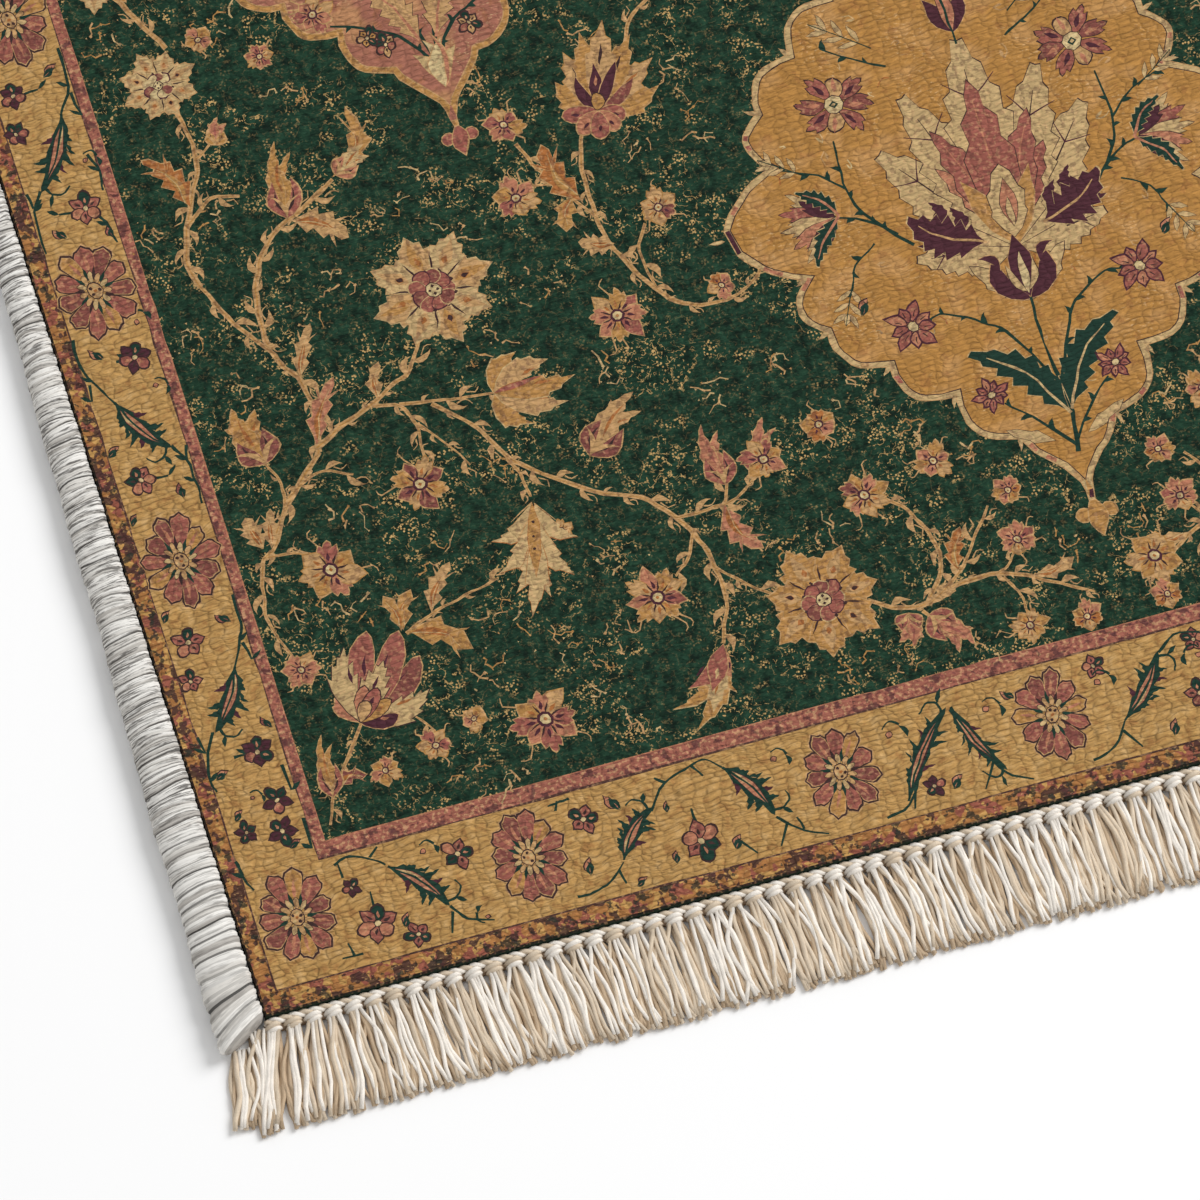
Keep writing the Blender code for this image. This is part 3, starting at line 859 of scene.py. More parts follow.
def medallion_outline():
    """The scalloped outline, arc by arc in one quarter, then mirrored."""
    quarter = []
    for here, beyond in zip(MEDALLION_CUSPS, MEDALLION_CUSPS[1:]):
        start, stop = np.array(here[:2]), np.array(beyond[:2])
        chord = stop - start
        outward = np.array([chord[1], -chord[0]]) / float(np.hypot(*chord))
        last = beyond is MEDALLION_CUSPS[-1]
        for share in np.linspace(0, 1, 9, endpoint=False):
            swell = here.swell * (math.sin(FULL_TURN * share) if last else 4 * share * (1 - share))
            if last:
                swell -= 3 * math.sin(math.pi * share)
            quarter.append(start + chord * share + outward * swell)
    right = np.array(quarter + [np.array(MEDALLION_CUSPS[-1][:2])])
    top = np.vstack([right, (right[::-1] * [-1, 1])[:-1]])
    bottom = (top * [1, -1])[::-1]
    return np.vstack([top, bottom[1:]])


def medallion(art, scale, ribbon, line, ground, finial):
    """The ground of a medallion with its ribbon, thin line and two finials."""
    outline = medallion_outline() * scale
    for turn in (-1, 1):
        for across in (-1, 1):
            art.disc((6.6 * across * scale, 187 * turn * scale), 4.2 * scale, finial, "tan", 0.6, corners=10)
        art.petal((0, 179 * turn * scale), (0, 200 * turn * scale), 10.5 * scale, finial, "tan", 0.6)
    art.patch(outline, "tan")
    for inset, yarn in ((0.5, ribbon), (3, line), (3.5, ground)):
        art.patch(inset_outline(outline, inset), yarn)


def leafy_stem(art, points, width=1.3, end_width=0.8):
    """A thin stem with small pointed leaflets."""
    route = smooth_route(points)
    art.patch(stroke_outline(route, width * 1.2, end_width * 1.1), "leaf")
    for index in range(3, len(route) - 1, 3):
        heading = math.atan2(*(route[index] - route[index - 1])[::-1])
        hand = 1 if index % 6 < 3 else -1
        reach = art.chance.uniform(3.8, 7)
        art.mark(route[index], toward(route[index], heading + 0.8 * hand, reach), reach * 0.4, "leaf",
                 "pointed", -0.2 * hand)


def toothed_leaf(art, base, tip, width, yarn, rib, bend=0.1, edge="cream"):
    """A serrated leaf with a light rib, and curled lobes beside it if it is broad."""
    leaf = Sprig(base, tip)
    swell = leaf.length * bend
    if width > 17:
        for share, hand in ((0.3, 1), (0.34, -1), (0.56, 1), (0.6, -1)):
            art.petal(leaf.at(share), leaf.at(share + 0.22, width * 0.62 * hand), width * 0.4, yarn, edge,
                      0.35, form="flame", bend=0.25 * hand)
    art.petal(base, tip, width, yarn, edge, 0.4, bend=bend, teeth=6, tooth=0.26)
    art.stroke([leaf.base, leaf.at(0.5, swell * 0.95), leaf.at(0.84, swell * 0.4)], rib, 1.5, 0.5)


def wine_flower(art, centre, radius, turn):
    """A flower of nine rose petals in wine outline, long and short in turn."""
    bloom = Bloom(art, centre, radius)
    for index in range(9):
        angle = turn + index * FULL_TURN / 9
        fill = "rose" if index % 3 else "salmon"
        bloom.petal(angle, 0.15, 1.12 if index % 2 else 0.88, 0.5, fill, "wine", 0.85,
                    bend=art.chance.uniform(-0.1, 0.1))
        art.stroke([bloom.at(angle, 0.4), bloom.at(angle, 0.66)], "umber", 0.7, 0.3, 2)
    art.disc(centre, radius * 0.22, "ivory", "umber", 0.4, corners=7)


def rose_flower(art, centre, radius, turn=0.2):
    """A flower of eight ragged petals, two of them short and pale."""
    bloom = Bloom(art, centre, radius)
    for index in range(8):
        angle, odd, pale = turn + index * math.pi / 4, index % 2, index in (2, 6)
        fill = "tan" if pale else ("rose" if odd else "brick")
        bloom.petal(angle, 0.15, 0.8 if pale else 1.08, 0.5, fill, "umber", 0.55,
                    form="round" if pale else "ragged", bend=art.chance.uniform(-0.08, 0.08))
        bloom.mark(angle, 0.36, 0.8, 0.14, "wine" if odd else "salmon")
    art.disc(centre, radius * 0.28, "ivory", "umber")
    art.disc(centre, radius * 0.12, "leaf", corners=4)
    art.disc(centre, radius * 0.06, "cream", corners=4)


def cream_spray(art, base, tip, width):
    """A faded spray of cream leaflets in thin brown outline."""
    stem = Sprig(base, tip)
    for share in (0.2, 0.45, 0.7):
        for hand in (-1, 1):
            leaflet_tip = stem.at(share + 0.28, hand * width * 0.5)
            art.petal(stem.at(share), leaflet_tip, width * 0.24, "cream", "umber", 0.25)
    art.petal(stem.at(0.7), tip, width * 0.26, "cream", "umber", 0.25)
    art.stroke([base, tip], "leaf", 0.7, 0.4)


GREAT_PETALS = table(
    "tip_x tip_y width",
    (-45, -36, 22), (50, -36, 22), (-47, 22, 30), (56, 22, 30), (-28, 48, 29), (39, 47, 29), (6, 70, 33),
)
SIDE_BLOSSOM = table(
    "lift reach yarn",
    (18, 26, "cream"), (9, 33, "rose"), (-1, 36, "cream"), (-11, 31, "salmon"), (-20, 25, "cream"),
    (13, 19, "wine"), (-14, 17, "wine"),
)
PALE_FOOT = table(
    "lean width yarn",
    (-11, 8, "cream"), (11, 8, "cream"), (-4, 8, "ivory"), (5, 8, "ivory"), (0, 3, "salmon"),
)
HEART_PETALS = table(
    "tip_x tip_y width yarn",
    (-23, 8, 14, "salmon"), (32, 8, 18, "rose"), (-20, 28, 19, "rose"), (29, 27, 19, "rose"),
    (5, 49, 25, "rose"),
)


def gold_medallion_flowers(art):
    """The bouquet of a gold medallion, told from its middle."""
    foot, heart = (3, -43), (4, -30)
    for one in GREAT_PETALS:
        stem = Sprig(foot, (one.tip_x, one.tip_y))
        art.petal(foot, stem.tip, one.width, "cream", "umber", 0.45, teeth=7, tooth=0.13)
        near, fork, far = stem.at(0.56), stem.at(0.72), stem.at(0.86)
        art.stroke([near, far], "umber", 0.9, 0.4)
        across = np.array([-(far - near)[1], (far - near)[0]]) * 0.4
        for hand in (-1, 1):
            art.stroke([fork, fork + across * hand + (far - fork) * 0.7], "wine", 0.8, 0.4, 2)
    for one in HEART_PETALS:
        stem = Sprig(heart, (one.tip_x, one.tip_y))
        art.petal(heart, stem.tip, one.width, one.yarn, "umber", 0.45, form="flame")
        art.stroke([stem.at(0.45), stem.at(0.85)], "salmon", 1, 0.4)
    for hand in (-1, 1):
        art.petal((4, -42), (4 + 17 * hand, -2), 12, "honey")
    art.petal((4, -38), (7, 2), 19, "cream", "umber", 0.45, teeth=3, tooth=0.1)
    art.petal((5, -32), (7, -6), 9, "salmon", "umber", 0.4)
    art.petal((5, -32), (6, -16), 4, "cream", "umber", 0.4)
    toothed_leaf(art, (-10, -36), (-44, -14), 20, "wine", "tan")
    toothed_leaf(art, (19, -34), (53, -14), 20, "wine", "tan", -0.1)
    for tip_x in (-22, 26):
        art.petal((2, -72), (tip_x, -46), 11, "cream", "umber", 0.4, teeth=3, tooth=0.12)
    art.petal((2, -70), (3, -35), 13, "wine", "tan", 0.4)
    for hand in (-1, 1):
        art.petal((2, -71), (2 + 14 * hand, -48), 10, "wine", "tan", 0.4, bend=-0.16 * hand, form="round")
        art.petal((2 + 10 * hand, -53), (2 + 19 * hand, -44), 5, "wine", "tan", 0.3, bend=0.3 * hand)
        art.petal((2, -67), (2 + 7 * hand, -50), 4, "cream", "umber", 0.3, bend=-0.1 * hand)
    art.petal((2, -68), (3, -45), 4.6, "ivory", "umber", 0.3)
    art.stroke([(2, -70), (1, -95), (4, -126), (1, -154)], "leaf", 1.3, 2.6)
    toothed_leaf(art, (3, -134), (-36, -90), 16.5, "leaf", "cream", -0.12)
    toothed_leaf(art, (4, -132), (40, -88), 16.5, "leaf", "cream", 0.12)
    for hand in (-1, 1):
        leafy_stem(art, [(1, -150), (12 * hand, -134), (26 * hand, -120)])
        wine_flower(art, (31 * hand, -114), 9.5, 0.3 * hand)
        leafy_stem(art, [(3, -118), (14 * hand + 2, -88), (24 * hand, -76), (40 * hand, -67),
                         (50 * hand, -68)])
        wine_flower(art, (57 * hand, -69), 13.5, 0.5)
        art.petal((8 * hand, -146), (30 * hand, -134), 6, "cream", "umber", 0.3, teeth=2)


def medallion_side_stems(art):
    """Stems and flowers that a medallion carries alike at its left and right."""
    for hand in (-1, 1):
        leafy_stem(art, [(44 * hand, -28), (60 * hand, -9), (67 * hand, 8), (66 * hand, 36)], 1.5, 0.9)
        rose_flower(art, (60 * hand, 54), 18.5, 0.25 * hand)
        leafy_stem(art, [(67 * hand, 10), (78 * hand, 20), (96 * hand, 28)], 1, 0.7)
        cream_spray(art, (84 * hand, 22), (104 * hand, 36), 12)
        leafy_stem(art, [(30 * hand, 66), (44 * hand, 74), (58 * hand, 84)], 1, 0.7)
        cream_spray(art, (34 * hand, 78), (60 * hand, 98), 13)
        leafy_stem(art, [(50 * hand, -20), (64 * hand, -8), (78 * hand, -3)], 1.3, 0.9)
        for one in SIDE_BLOSSOM:
            tip = ((76 + one.reach * 0.8) * hand, one.lift - 3)
            art.petal((76 * hand, -3), tip, 9, one.yarn, "umber", 0.4, form="ragged")
        for lift in (15, -26.4):
            toothed_leaf(art, (74 * hand, -3), (92 * hand, lift), 8, "leaf", "salmon", 0.1 * hand)
        leafy_stem(art, [(62 * hand, -22), (74 * hand, -30), (80 * hand, -44)], 0.9, 0.6)
        cream_spray(art, (78 * hand, -38), (88 * hand, -60), 13)
        border_bud(art, (76 * hand, -52), 3.6, "salmon", 1)


def upper_bouquet(art):
    """The smaller bouquet that closes the top of a gold medallion."""
    art.petal((6, 74), (-4, 96), 9, "wine", "tan", 0.4)
    art.petal((6, 74), (16, 96), 9, "wine", "tan", 0.4)
    art.petal((6, 74), (6, 104), 8, "salmon", "umber", 0.4)
    art.stroke([(6, 68), (5, 96), (3, 154)], "leaf", 1, 2)
    toothed_leaf(art, (3, 136), (-28, 108), 13, "leaf", "salmon", 0.12)
    toothed_leaf(art, (3, 136), (32, 108), 13, "leaf", "salmon", -0.12)
    for hand in (-1, 1):
        leafy_stem(art, [(2, 150), (14 * hand, 140), (24 * hand, 128)])
        wine_flower(art, (26 * hand, 122), 8.5, 0.3)


def medallion_wear(art):
    """Coloured dashes on the ribbon, thorns on its cusps, and faded cream marks on the ground."""
    chance = art.chance
    outline = medallion_outline()
    ribbon = inset_outline(outline, 1.7)
    for start in chance.sample(range(len(ribbon) - 2), 26):
        yarn = chance.choice(("rose", "wine", "salmon", "tan"))
        art.patch(stroke_outline(ribbon[start:start + 2], 2.3, 2), yarn)
    for cusp in MEDALLION_CUSPS[:-1]:
        for hand in (-1, 1):
            for turn in (-1, 1):
                spot = np.array([cusp.across * hand, cusp.up * turn])
                art.petal(spot * 0.985, spot * 1.05, 2.4, "cream", "tan", 0.3, form="lance")
    for _ in range(90):
        spot = np.array([chance.uniform(-108, 108), chance.uniform(-128, 128)])
        if not winding(spot[None], outline * 0.86)[0]:
            continue
        angle = chance.uniform(0, 6.28)
        reach = chance.uniform(3, 8)
        yarn = chance.choice(("cream", "ivory", "tan", "rust"))
        route = [spot, toward(spot, angle, reach * 0.5), toward(spot, angle + 0.5, reach)]
        art.stroke(route, yarn, 0.9, 0.4, 2)
        if yarn != "rust":
            art.petal(spot, toward(spot, angle + 0.9, reach * 0.7), reach * 0.28, yarn, "honey", 0.3)


def gold_medallion(art):
    medallion(art, 1, "cream", "umber", "gold", "honey")
    medallion_wear(art)
    medallion_side_stems(art)
    gold_medallion_flowers(art)
    upper_bouquet(art)


def middle_medallion(art):
    """The rug's middle medallion: the same bouquet, once up and once down."""
    medallion(art, 1, "cream", "umber", "gold", "honey")
    medallion_side_stems(art)
    half = Cartoon(41)
    gold_medallion_flowers(half)
    wine = YARN_INDEX["wine"]
    half.patches = [(points, yarn) for points, yarn in half.patches
                    if points[:, 1].max() < -20 or yarn != wine]
    for scale, rise in ((0.72, -46), (-0.72, 46)):
        art.copy_from(half, lambda points: points * scale + [0, rise])
    serrated_flower(art, (0, 0), 22, 8, ("cream", "cream"), 0.2, "rose")


def rose_medallion(art):
    """The smaller medallion: two palmettes among stems and flowers that are alike up and down."""
    medallion(art, 0.875, "honey", "tan", "old rose", "rose")
    for turn in (-1, 1):
        foot = np.array([1, -137 * turn])
        for hand in (-1, 1):
            leafy_stem(art, [foot + (0, 10 * turn), (10 * hand, -108 * turn), (26 * hand, -97 * turn),
                             (44 * hand, -90 * turn)], 1.6, 1)
            leafy_stem(art, [foot + (0, 12 * turn), (6 * hand, -96 * turn), (14 * hand, -72 * turn)],
                       1.8, 1)
            toothed_leaf(art, (4 * hand, -110 * turn), (25 * hand, -72 * turn), 14, "tan", "salmon",
                         0.08 * hand, "umber")
            leafy_stem(art, [(20 * hand, -40 * turn), (40 * hand, -42 * turn), (58 * hand, -30 * turn)])
            cream_spray(art, (60 * hand, -62 * turn), (76 * hand, -46 * turn), 14)
            rose_flower(art, (64 * hand, -22 * turn), 14)
            border_flower(art, (46 * hand, -60 * turn), 7.5, 5, ("honey", "cream"))
            border_flower(art, (21 * hand, -107 * turn), 5.4, 6, ("tan", "rose"), 0.6)
        border_flower(art, (-28, -101 * turn), 5, 6, ("honey", "tan"), 0.1)
        star_flower(art, (46, -84 * turn), 10, 6, ("honey", "salmon"))
        star_flower(art, (-50, -82 * turn), 10, 7, ("cream", "rose"))
        for one in PALE_FOOT:
            tip = foot + (one.lean, (31 - abs(one.lean) * 0.9) * turn)
            bend = 0.14 if one.lean > 0 else -0.14
            art.petal(foot, tip, one.width, one.yarn, "tan", 0.4, bend=bend * turn)
    palmette(art, (0, -40), (0, 34), 60)
    palmette(art, (0, 44), (0, 84), 36)


# ---- the whole drawing


def drawn(seed, draw):
    """One part of the drawing by itself."""
    art = Cartoon(seed)
    draw(art)
    return art


def wander(points):
    """Yarn rows never run dead straight: every line of the drawing sways a little."""
    x, y = points[:, 0], points[:, 1]
    sway_x = 0.3 * np.sin(0.43 * y + 1.7 * np.sin(0.11 * x)) + 0.16 * np.sin(1.57 * y + 0.9 * x)
    sway_y = 0.26 * np.sin(0.39 * x + 1.3 * np.sin(0.13 * y)) + 0.16 * np.sin(1.43 * x - 0.8 * y)
    fade = np.clip(np.minimum(HALF_WIDTH - abs(x), HALF_LENGTH - abs(y)) / 3 - 0.1, 0, 1)
    return points + np.stack([sway_x * fade, sway_y * fade], axis=1)


def draw_rug():
    """Every patch of the rug in millimetres from its middle, in the order they are laid."""
    rug = drawn(7, draw_frames)
    corner = np.array([HALF_WIDTH, HALF_LENGTH])
    quarters = [np.array([across, along]) for across in (-1, 1) for along in (-1, 1)]
    for part in (drawn(23, draw_field), drawn(11, draw_border_motifs)):
        for quarter in quarters:
            rug.copy_from(part, lambda points: (points - corner) * quarter)
    end_middle = drawn(5, draw_end_middle)
    for turn in (1, -1):
        rug.copy_from(end_middle, lambda points: (points - corner) * turn)
    for turn in (1, -1):
        star_flower(rug, (20 * turn, (109 - HALF_LENGTH) * turn), 14, 7, ("honey", "tan"))
    rose, gold = drawn(31, rose_medallion), drawn(37, gold_medallion)
    for quarter in quarters:
        rug.copy_from(rose, lambda points: (points - [238, HALF_LENGTH - 579]) * quarter)
    for turn in (-1, 1):
        rug.copy_from(gold, lambda points: (points - [0, HALF_LENGTH - 326]) * turn)
    rug.copy_from(drawn(43, middle_medallion), lambda points: points)
    return [(wander(points), yarn) for points, yarn in rug.patches]


# ---- finishes


def maths(operation):
    """One kind of sum on a value of a finish."""
    def worked(self, *others):
        return self.finish.node("ShaderNodeMath", {"operation": operation}, dict(enumerate((self, *others))))
    return worked


class Shade:
    """A value inside a finish, so that sums of values read as plain sums."""

    def __init__(self, finish, socket):
        self.finish = finish
        self.socket = socket

    __add__ = __radd__ = maths("ADD")
    __sub__ = maths("SUBTRACT")
    __mul__ = __rmul__ = maths("MULTIPLY")
    __truediv__ = maths("DIVIDE")
    __pow__ = maths("POWER")
    __gt__ = maths("GREATER_THAN")
    __lt__ = maths("LESS_THAN")
    lower_of = maths("MINIMUM")
    higher_of = maths("MAXIMUM")
    fraction = maths("FRACT")
    floor = maths("FLOOR")
    sine = maths("SINE")
    size = maths("ABSOLUTE")

    def __rsub__(self, other):
        return (self * -1) + other

    def clamped(self):
        return self.lower_of(1).higher_of(0)

    def ramp(self, low, high):
        """From 0 at the low value to 1 at the high one."""
        return ((self - low) * (1 / (high - low))).clamped()


class Finish:
    """A yarn or cloth finish: one shader, and the values that feed it."""

    def __init__(self, name, roughness):
        self.material = bpy.data.materials.new(name)
        self.material.use_nodes = True
        self.tree = self.material.node_tree
        self.shader = self.tree.nodes["Principled BSDF"]
        self.shader.inputs["Roughness"].default_value = roughness
        self.shader.inputs["Metallic"].default_value = 0
        self.shader.inputs["Specular IOR Level"].default_value = 0.2

    def node(self, kind, settings=None, sockets=None, output=0):
        made = self.tree.nodes.new(kind)
        for key, value in (settings or {}).items():
            setattr(made, key, value)
        for key, value in (sockets or {}).items():
            self.feed(made.inputs[key], value)
        return Shade(self, made.outputs[output])

    def feed(self, socket, value):
        if isinstance(value, Shade):
            self.tree.links.new(value.socket, socket)
        else:
            socket.default_value = value

    def parts(self, vector):
        """The three numbers of a vector."""
        split = self.node("ShaderNodeSeparateXYZ", sockets={0: vector}).socket.node
        return [Shade(self, split.outputs[axis]) for axis in range(3)]

    def place(self):
        """The three coordinates on the rug, in millimetres."""
        return [part * 1000 for part in self.parts(self.node("ShaderNodeTexCoord", output="Object"))]

    def point(self, x, y, z=0):
        return self.node("ShaderNodeCombineXYZ", sockets={0: x, 1: y, 2: z})

    def noise(self, spot, scale, detail=2, roughness=0.5):
        return self.node("ShaderNodeTexNoise", {"noise_dimensions": "3D"},
                         {"Vector": spot, "Scale": scale, "Detail": detail, "Roughness": roughness}, "Fac")

    def voronoi(self, spot, scale, feature, output, randomness=1):
        return self.node("ShaderNodeTexVoronoi", {"feature": feature, "voronoi_dimensions": "2D"},
                         {"Vector": spot, "Scale": scale, "Randomness": randomness}, output)

    def mix(self, share, under, over):
        return self.node("ShaderNodeMix", {"data_type": "RGBA"}, {0: share, 6: under, 7: over}, 2)

    def lay(self, under, share, red, green, blue):
        """Another colour over the one below, as far as the share says."""
        return self.mix(share, under, linear_colour(red, green, blue))

    def brighten(self, colour, factor):
        return self.node("ShaderNodeVectorMath", {"operation": "SCALE"}, {0: colour, "Scale": factor})

    def yarn(self):
        """The colour of the yarn at a place, and the ground that it belongs to."""
        attribute = self.node("ShaderNodeVertexColor", {"layer_name": "yarn"}, output="Color")
        return attribute, Shade(self, attribute.socket.node.outputs["Alpha"])

    def finish(self, colour, height, distance, strength=1):
        self.feed(self.shader.inputs["Base Color"], colour)
        bump = self.node("ShaderNodeBump", sockets={"Height": height, "Distance": distance * MM,
                                                    "Strength": strength}, output="Normal")
        self.feed(self.shader.inputs["Normal"], bump)
        return self.material


def woven_face_finish():
    """Rows of short woven floats with painted shade in their crevices; each ground colour wears in its own
    way.
    """
    cloth = Finish("woven_cloth", 0.95)
    x, y, _ = cloth.place()
    colour, ground = cloth.yarn()
    spot = cloth.point(x, y)
    drift = cloth.noise(spot, 0.05)
    brick_way = cloth.point(x / 6.2 + drift * 3, y / 3.1 + drift * 2.2)
    lump = cloth.voronoi(brick_way, 1, "DISTANCE_TO_EDGE", "Distance", 0.5)
    luck = cloth.voronoi(brick_way, 1, "F1", "Color", 0.5)
    row = y / 2.9 + drift * 4.4
    fine_row = y / 1.2 + drift * 5
    fine_spot = cloth.point((x / 2.1 + fine_row.floor() * 0.37).floor(), fine_row.floor(), 3)
    fine_luck = cloth.node("ShaderNodeTexWhiteNoise", {"noise_dimensions": "3D"}, {"Vector": fine_spot},
                           "Value")
    stains = cloth.noise(spot, 0.16, 3, 0.6)
    patches = cloth.noise(spot, 0.05)
    grain = cloth.noise(cloth.point(x * 0.7, y * 1.5), 0.6, 3, 0.65)
    hold = cloth.noise(cloth.point(x * 0.6, y), 0.22, 2, 0.6).ramp(0.37, 0.6)
    crevice = (1 - lump.ramp(0, 0.15)) * hold
    row_line = ((row.fraction() - 0.5).size() * 2) ** 5 * (1 - hold * 0.7)
    float_top = lump.ramp(0, 0.5)

    def near(level):
        return (ground - level).size() < 0.06

    ochre, medallion_part = near(OCHRE_GROUND), near(MEDALLION_GROUND)
    band, green, stripe = near(BAND_GROUND), near(GREEN_GROUND), near(STRIPE_GROUND)
    warped = cloth.point(x + (cloth.noise(spot, 0.13, 3) - 0.5) * 18,
                         y + (cloth.noise(cloth.point(y, x, 7), 0.13, 3) - 0.5) * 18)
    wide_net = cloth.voronoi(warped, 0.12, "DISTANCE_TO_EDGE", "Distance")
    close_net = cloth.voronoi(warped, 0.27, "DISTANCE_TO_EDGE", "Distance")
    dots = cloth.voronoi(spot, 0.52, "F1", "Distance")
    clusters = cloth.noise(spot, 0.03, 3, 0.6).ramp(0.5, 0.58)
    broken = cloth.noise(spot, 0.38)
    thread_lines = (wide_net.ramp(0.03, 0.014) * broken.ramp(0.46, 0.51)
                    + close_net.ramp(0.05, 0.026) * broken.ramp(0.54, 0.58))
    beads = dots.ramp(0.3, 0.2) * cloth.noise(spot, 0.12).ramp(0.56, 0.6)

    dark_green = cloth.lay(colour, stains.ramp(0.42, 0.66) * 0.5, 40, 76, 56)
    dark_green = cloth.lay(dark_green, grain.ramp(0.5, 0.72) * 0.36, 56, 84, 60)
    dark_green = cloth.lay(dark_green, stains.ramp(0.45, 0.34) * 0.8, 9, 26, 18)
    threads = ((thread_lines + beads * 1.3) * (0.14 + clusters * 0.8)).clamped()
    colour = cloth.mix(green, colour, cloth.lay(dark_green, threads, 186, 152, 98))

    mottled = cloth.lay(colour, cloth.noise(spot, 0.09).ramp(0.52, 0.55), 142, 82, 66)
    mottled = cloth.lay(mottled, cloth.noise(spot, 0.19).ramp(0.54, 0.57), 180, 138, 80)
    mottled = cloth.lay(mottled, cloth.noise(cloth.point(y, x, 3), 0.18).ramp(0.54, 0.57) * 0.9, 66, 44, 42)
    mottled = cloth.lay(mottled, stains.ramp(0.43, 0.4) * 0.85, 46, 48, 40)
    colour = cloth.mix(band, colour, cloth.lay(mottled, (grain > 0.63) * 0.5, 196, 156, 104))

    speckle = cloth.noise(spot, 0.42)
    flecked = cloth.lay(colour, speckle.ramp(0.54, 0.6) * 0.7, 190, 146, 108)
    flecked = cloth.lay(flecked, speckle.ramp(0.42, 0.36) * 0.7, 98, 54, 52)
    colour = cloth.mix(stripe, colour, cloth.lay(flecked, stains.ramp(0.46, 0.41) * 0.75, 78, 46, 48))

    worn = cloth.lay(colour, stains.ramp(0.52, 0.7) * 0.6, 200, 164, 112)
    colour = cloth.mix(ochre, colour, cloth.lay(worn, stains.ramp(0.46, 0.34) * 0.6, 142, 96, 54))

    faded = cloth.lay(colour, patches.ramp(0.5, 0.62) * 0.5, 186, 142, 92)
    faded = cloth.lay(faded, grain.ramp(0.56, 0.68) * clusters * 0.7, 196, 164, 122)
    colour = cloth.mix(medallion_part, colour, cloth.lay(faded, stains.ramp(0.44, 0.36) * 0.4, 140, 90, 52))

    motif = near(PLAIN)
    faint = cloth.lay(colour, speckle.ramp(0.53, 0.62) * 0.34, 196, 154, 112)
    faint = cloth.lay(faint, cloth.noise(cloth.point(y, x, 5), 0.34).ramp(0.54, 0.62) * 0.42, 78, 48, 44)
    colour = cloth.mix(motif, colour, faint)

    # Painted shade and light: depth sets how far the crevices and row lines between floats darken the colour,
    # and the float tops are painted lighter; the cell, grain and fine terms vary the tone at random.
    depth = 0.26 + (ochre + band) * 0.22 + medallion_part * 0.06 - green * 0.12
    shade = (1.1 - green * 0.05 - depth * crevice - depth * 0.7 * row_line + (float_top - 0.5) * depth * 0.35
             + (luck - 0.5) * 0.2 + (grain - 0.5) * (0.5 + green * 0.35) + (fine_luck - 0.5) * 0.14)
    height = float_top - row_line * 0.5 + luck * 0.35 + fine_luck * 0.2 + grain * 0.6
    return cloth.finish(cloth.brighten(colour, shade), height, 1, 0.75)


def backing_finish():
    """The plain woven underside and the dark sewn edge, whose near black along the sides is painted shade
    under the binding.
    """
    cloth = Finish("woven_backing", 0.95)
    x, y, _ = cloth.place()
    colour, _ = cloth.yarn()
    weave = (x * 2.1).sine() * (y * 2.1).sine()
    specks = cloth.noise(cloth.point(x, y), 0.4)
    return cloth.finish(cloth.brighten(colour, 0.9 + specks * 0.2 + weave * 0.05), weave * 0.5 + specks, 0.3)


def yarn_finish(name):
    """The start of a spun yarn's finish: its colour, and the way round and along a strand."""
    thread = Finish(name, 0.85)
    colour, _ = thread.yarn()
    around, along, _ = thread.parts(thread.node("ShaderNodeUVMap", {"uv_map": "strand"}))
    return thread, colour, around, along


def binding_finish():
    """Loosely spun yarn flecked with a darker thread; its fibres are coarser near the rug's ends."""
    thread, colour, around, along = yarn_finish("binding_yarn")
    _, y, z = thread.place()
    near_end = y.size().ramp(640, 740)
    fine_fibres = thread.noise(thread.point(around * 7, along * 1.5, z * 0.04), 0.7, 4, 0.65)
    thick_fibres = thread.noise(thread.point(around * 6, along * 0.7, 9), 0.7, 3, 0.6)
    fibres = fine_fibres * (1 - near_end) + thick_fibres * near_end
    hairs = thread.noise(thread.point(around * 9, along * 5), 0.7, 3, 0.6)
    hairs = hairs + (0.5 - hairs) * near_end * 0.45
    colour = thread.lay(colour, fibres.ramp(0.5, 0.6) * (1 - near_end * 0.62) * 0.85, 84, 80, 76)
    return thread.finish(thread.brighten(colour, 0.8 + hairs * 0.38), hairs * 0.9 + fibres * 0.6, 0.5, 0.8)


def fringe_finish():
    """Twisted yarn: bands that wind round each strand, fine hairs, and a shaded root."""
    thread, colour, around, along = yarn_finish("fringe_yarn")
    x, _, _ = thread.place()
    wound = ((around + along / 9) * FULL_TURN).sine()
    fibres = thread.noise(thread.point(around * 5, along * 0.3, x * 0.31), 1, 3, 0.6)
    hairs = thread.noise(thread.point(around * 9, along * 0.5, x * 0.4), 2, 3, 0.6)
    # Painted shade: the strand is darker for its first 7 mm below the knot.
    root_shade = 0.66 + along.ramp(0, 7) * 0.34
    colour = thread.brighten(colour, (0.8 + wound * 0.04 + hairs * 0.38) * root_shade)
    return thread.finish(colour, wound * 0.25 + hairs * 0.9 + fibres * 0.6, 0.5, 0.8)


# ---- meshes


def rectangle(low, high):
    """A rectangle's corners, the left way round from the lower left one."""
    return np.array([low, (high[0], low[1]), high, (low[0], high[1])])


def add_object(name, data):
    made = bpy.data.objects.new(name, data)
    bpy.context.scene.collection.objects.link(made)
    return made


def add_piece(name, points, faces, colours, maps, material):
    """A piece of the rug from points in millimetres, with a yarn colour for each face."""
    mesh = bpy.data.meshes.new(name)
    mesh.from_pydata((np.asarray(points) * MM).tolist(), [], faces)
    mesh.materials.append(material)
    corners = np.array([len(face) for face in faces])
    layer = mesh.color_attributes.new("yarn", "FLOAT_COLOR", "CORNER")
    layer.data.foreach_set("color", np.repeat(np.asarray(colours, np.float32), corners, axis=0).ravel())
    for title, places in maps.items():
        plan = mesh.uv_layers.new(name=title)
        plan.data.foreach_set("uv", np.asarray(places, np.float32).ravel())
    made = add_object(name, mesh)
    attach(made, "root")
    return made


